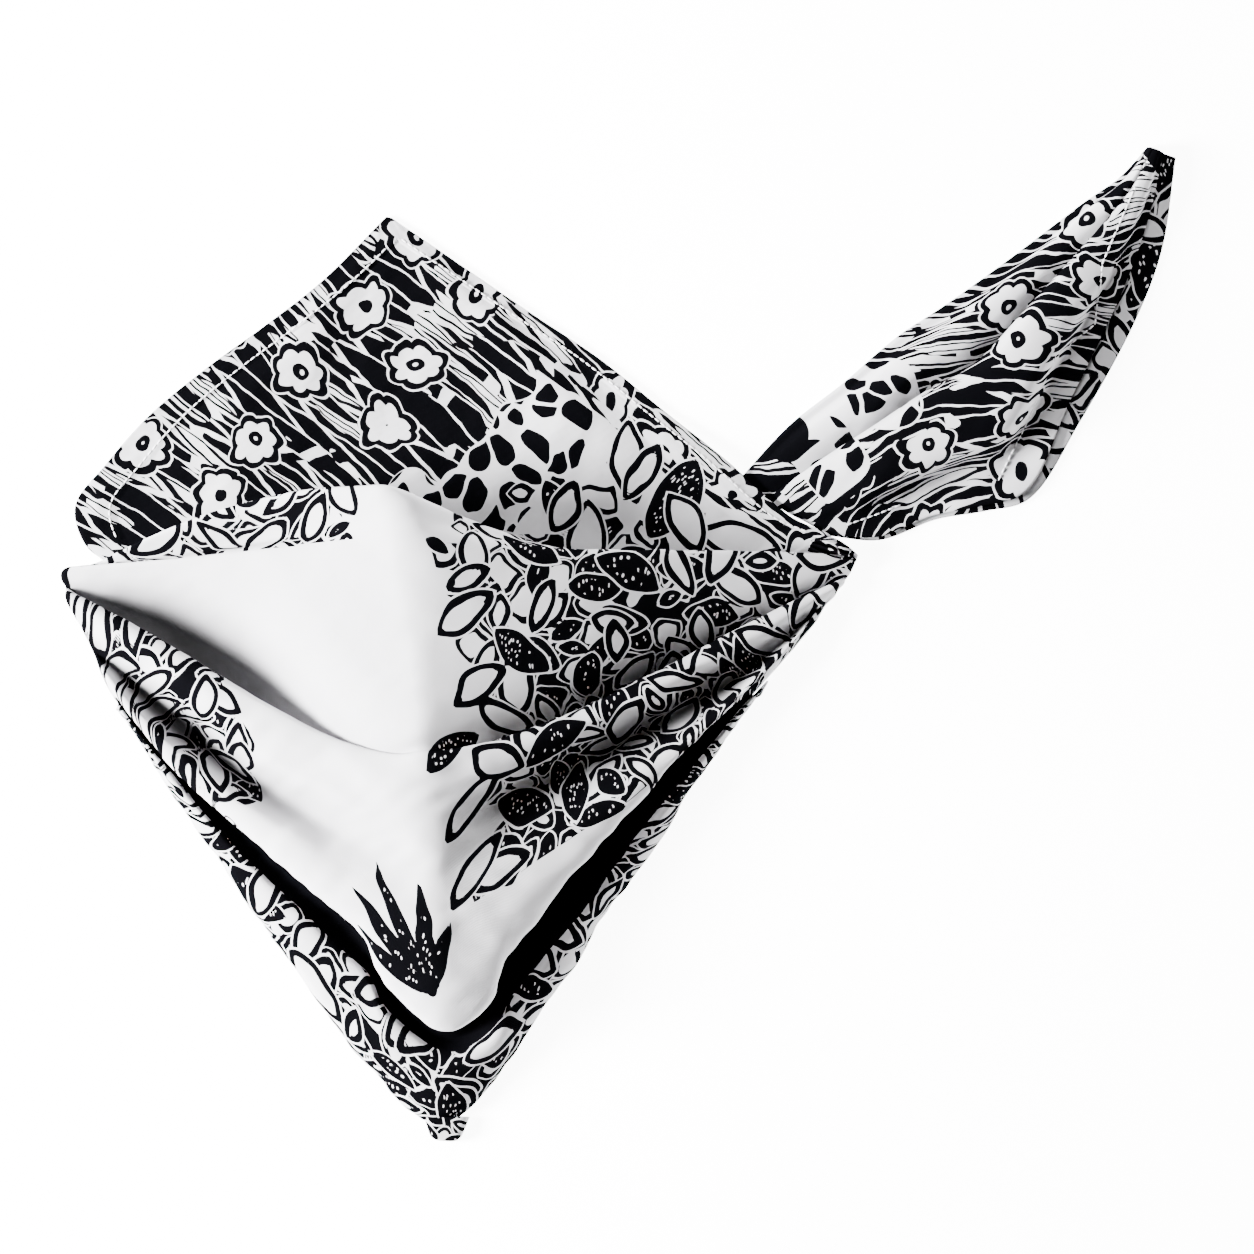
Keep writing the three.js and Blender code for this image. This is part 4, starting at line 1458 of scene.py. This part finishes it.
def build_lobe(name: str, node: str, grid: Array, base: float, leafy: bool, cotton: Material) -> Piece:
    """Closes a lobe's upper grid down to its base, and adds it as a piece of its own.

    Args:
        name: the piece's name.
        node: the node of the part that it replaces.
        grid: the upper surface, in millimetres.
        base: height of the underside.
        leafy: leaves if true, else reed streaks.
        cotton: the printed material.
    """
    flat = np.stack([grid[..., 0] * 1.3 + 400, grid[..., 1] * 1.3], axis=-1)
    grown, bare = np.full(grid.shape[:2], -30.0), np.full(grid.shape[:2], FAR)
    leaf, streak = (grown, bare) if leafy else (bare, grown)
    blots = 2.0 * ripples(grid[..., 0], grid[..., 1], 7, 51)
    zones = leaf_zones(flat, leaf, (LeafScatter(6, 11, 80, 0.5),), 91)
    zones |= {"leaf_zone": leaf, "streak_zone": streak, "dark_zone": blots + leafy * FAR}
    piece = show(name, closed_sheet(name, ClothPatch(grid, flat, zones), grid[..., 2] - base), cotton)
    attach(piece, "root")
    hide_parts(node)
    return piece


@dataclass
class CornerGather:
    """The small bundle of pleats where the tail leaves the right corner."""

    lobe: Lobe = Lobe((77.0, 33.6), 18.0, 9.0, 4.6, 5.4, -18.0, 4)

    def build(self, cotton: Material) -> Piece:
        """Makes the pleats: a cosine across the bundle under a rounded envelope."""
        a, c = np.meshgrid(np.linspace(-1, 1, 40), np.linspace(-1, 1, 90), indexing="ij")
        half = (a + 1) / 2
        narrow = 0.15 + 0.85 * np.sin(math.pi * (0.20 + 0.75 * half))
        dome = np.sqrt(np.maximum(0, 1 - np.abs(c) ** 3))
        pleat = 0.70 + 0.30 * np.cos(c * math.pi * self.lobe.pleats + 0.6 * a)
        height = 0.3 + (self.lobe.height - 0.3) * dome * pleat * (0.45 + 0.55 * np.sin(math.pi * half))
        grid = placed(self.lobe, a, c * narrow, height)
        piece = build_lobe("corner_gather_cloth", "corner_gather", grid, self.lobe.base, False, cotton)
        return piece


@dataclass
class TipTuck:
    """The blunt end of the drape's point, tucked under itself."""

    lobe: Lobe = Lobe((-64.2, -177.2), 17.0, 9.2, 0.05, 4.6, -2.0)

    def build(self, cotton: Material) -> Piece:
        """Makes the tuck: a low rounded bar, narrower at its outer edge."""
        a, c = np.meshgrid(np.linspace(-1, 1, 60), np.linspace(-1, 1, 40), indexing="ij")
        dome = np.sqrt(np.maximum(0, (1 - a**6) * (1 - np.maximum(-c, c * 0.6) ** 4)))
        height = 0.4 + (self.lobe.height - 0.4) * dome
        grid = placed(self.lobe, a * (0.86 + 0.14 * c), c + 0.30 * (1 - c) * a**4, height)
        piece = build_lobe("tip_tuck_cloth", "tip_tuck", grid, self.lobe.base, True, cotton)
        return piece


# Scene


@dataclass(frozen=True)
class Lamp:
    """A square area light that looks at the middle of the wrap, in metres and watts."""

    name: str
    place: tuple[float, float, float]
    size: float
    power: float

    def build(self) -> None:
        """Adds the lamp to the scene."""
        light = bpy.data.lights.new(self.name, "AREA")
        light.shape = "SQUARE"
        light.size = self.size
        light.energy = self.power
        lamp = bpy.data.objects.new(self.name, light)
        bpy.context.scene.collection.objects.link(lamp)
        lamp.location = self.place
        lamp.rotation_euler = (-Vector(self.place)).to_track_quat("-Z", "Y").to_euler()


@dataclass
class Studio:
    """The white sweep, the soft lights and the camera straight above.

    The frame, the centre and the sensor are in millimetres, the other lengths in metres.
    """

    frame_mm: float = 457.7
    distance: float = 2.2
    centre: tuple[float, float] = (1.8, 5.8)
    sensor: float = 36.0
    far_clip: float = 20.0
    sweep: float = 1.6
    sky: float = 0.03
    key: Lamp = Lamp("key", (-1.39, -0.12, 0.60), 0.50, 340.0)
    fill: Lamp = Lamp("fill", (0.30, 1.35, 0.75), 0.6, 50.0)

    def surface(self) -> Piece:
        """A plane at the height of the part's underside, far wider than the picture."""
        mesh = bpy.data.meshes.new("pale_surface")
        corners = [(x * self.sweep, y * self.sweep, 0) for x, y in ((-1, -1), (1, -1), (1, 1), (-1, 1))]
        mesh.from_pydata(corners, [], [(0, 1, 2, 3)])
        mesh.update()
        piece = show("pale_surface", mesh, PaleSurface().build("pale_surface"))
        return piece

    def lights(self) -> None:
        """A key light from the left, a weaker fill from beyond the flap and a faint sky."""
        self.key.build()
        self.fill.build()
        world = bpy.data.worlds.new("sky")
        world.use_nodes = True
        background = world.node_tree.nodes["Background"]
        background.inputs["Color"].default_value = (1, 1, 1, 1)
        background.inputs["Strength"].default_value = self.sky
        bpy.context.scene.world = world

    def camera(self) -> None:
        """A long lens straight above, whose frame is as wide as the photograph's."""
        data = bpy.data.cameras.new("camera")
        data.sensor_width = self.sensor
        data.lens = self.sensor * self.distance / (self.frame_mm * MM)
        data.clip_end = self.far_clip
        camera = bpy.data.objects.new("camera", data)
        bpy.context.scene.collection.objects.link(camera)
        camera.location = (self.centre[0] * MM, self.centre[1] * MM, self.distance)
        bpy.context.scene.camera = camera


def main() -> None:
    """Builds every piece, the studio and the camera, and reports each through the log."""
    logging.basicConfig(level=logging.INFO, format="%(message)s")
    studio = Studio()
    studio.camera()
    studio.lights()
    studio.surface()
    cotton = PrintedCotton().build("printed_cotton")
    thread = Thread().build("white_thread")
    panel, tail = BackPanel(), TieTail()
    for piece in (
        panel.build(cotton),
        panel.stitches(thread),
        FrontDrape().build(cotton),
        tail.build(cotton),
        tail.stitches(thread),
        CornerGather().build(cotton),
        TipTuck().build(cotton),
    ):
        LOG.info("%s: %d faces", piece.name, len(piece.data.polygons))


if __name__ == "__main__":
    main()
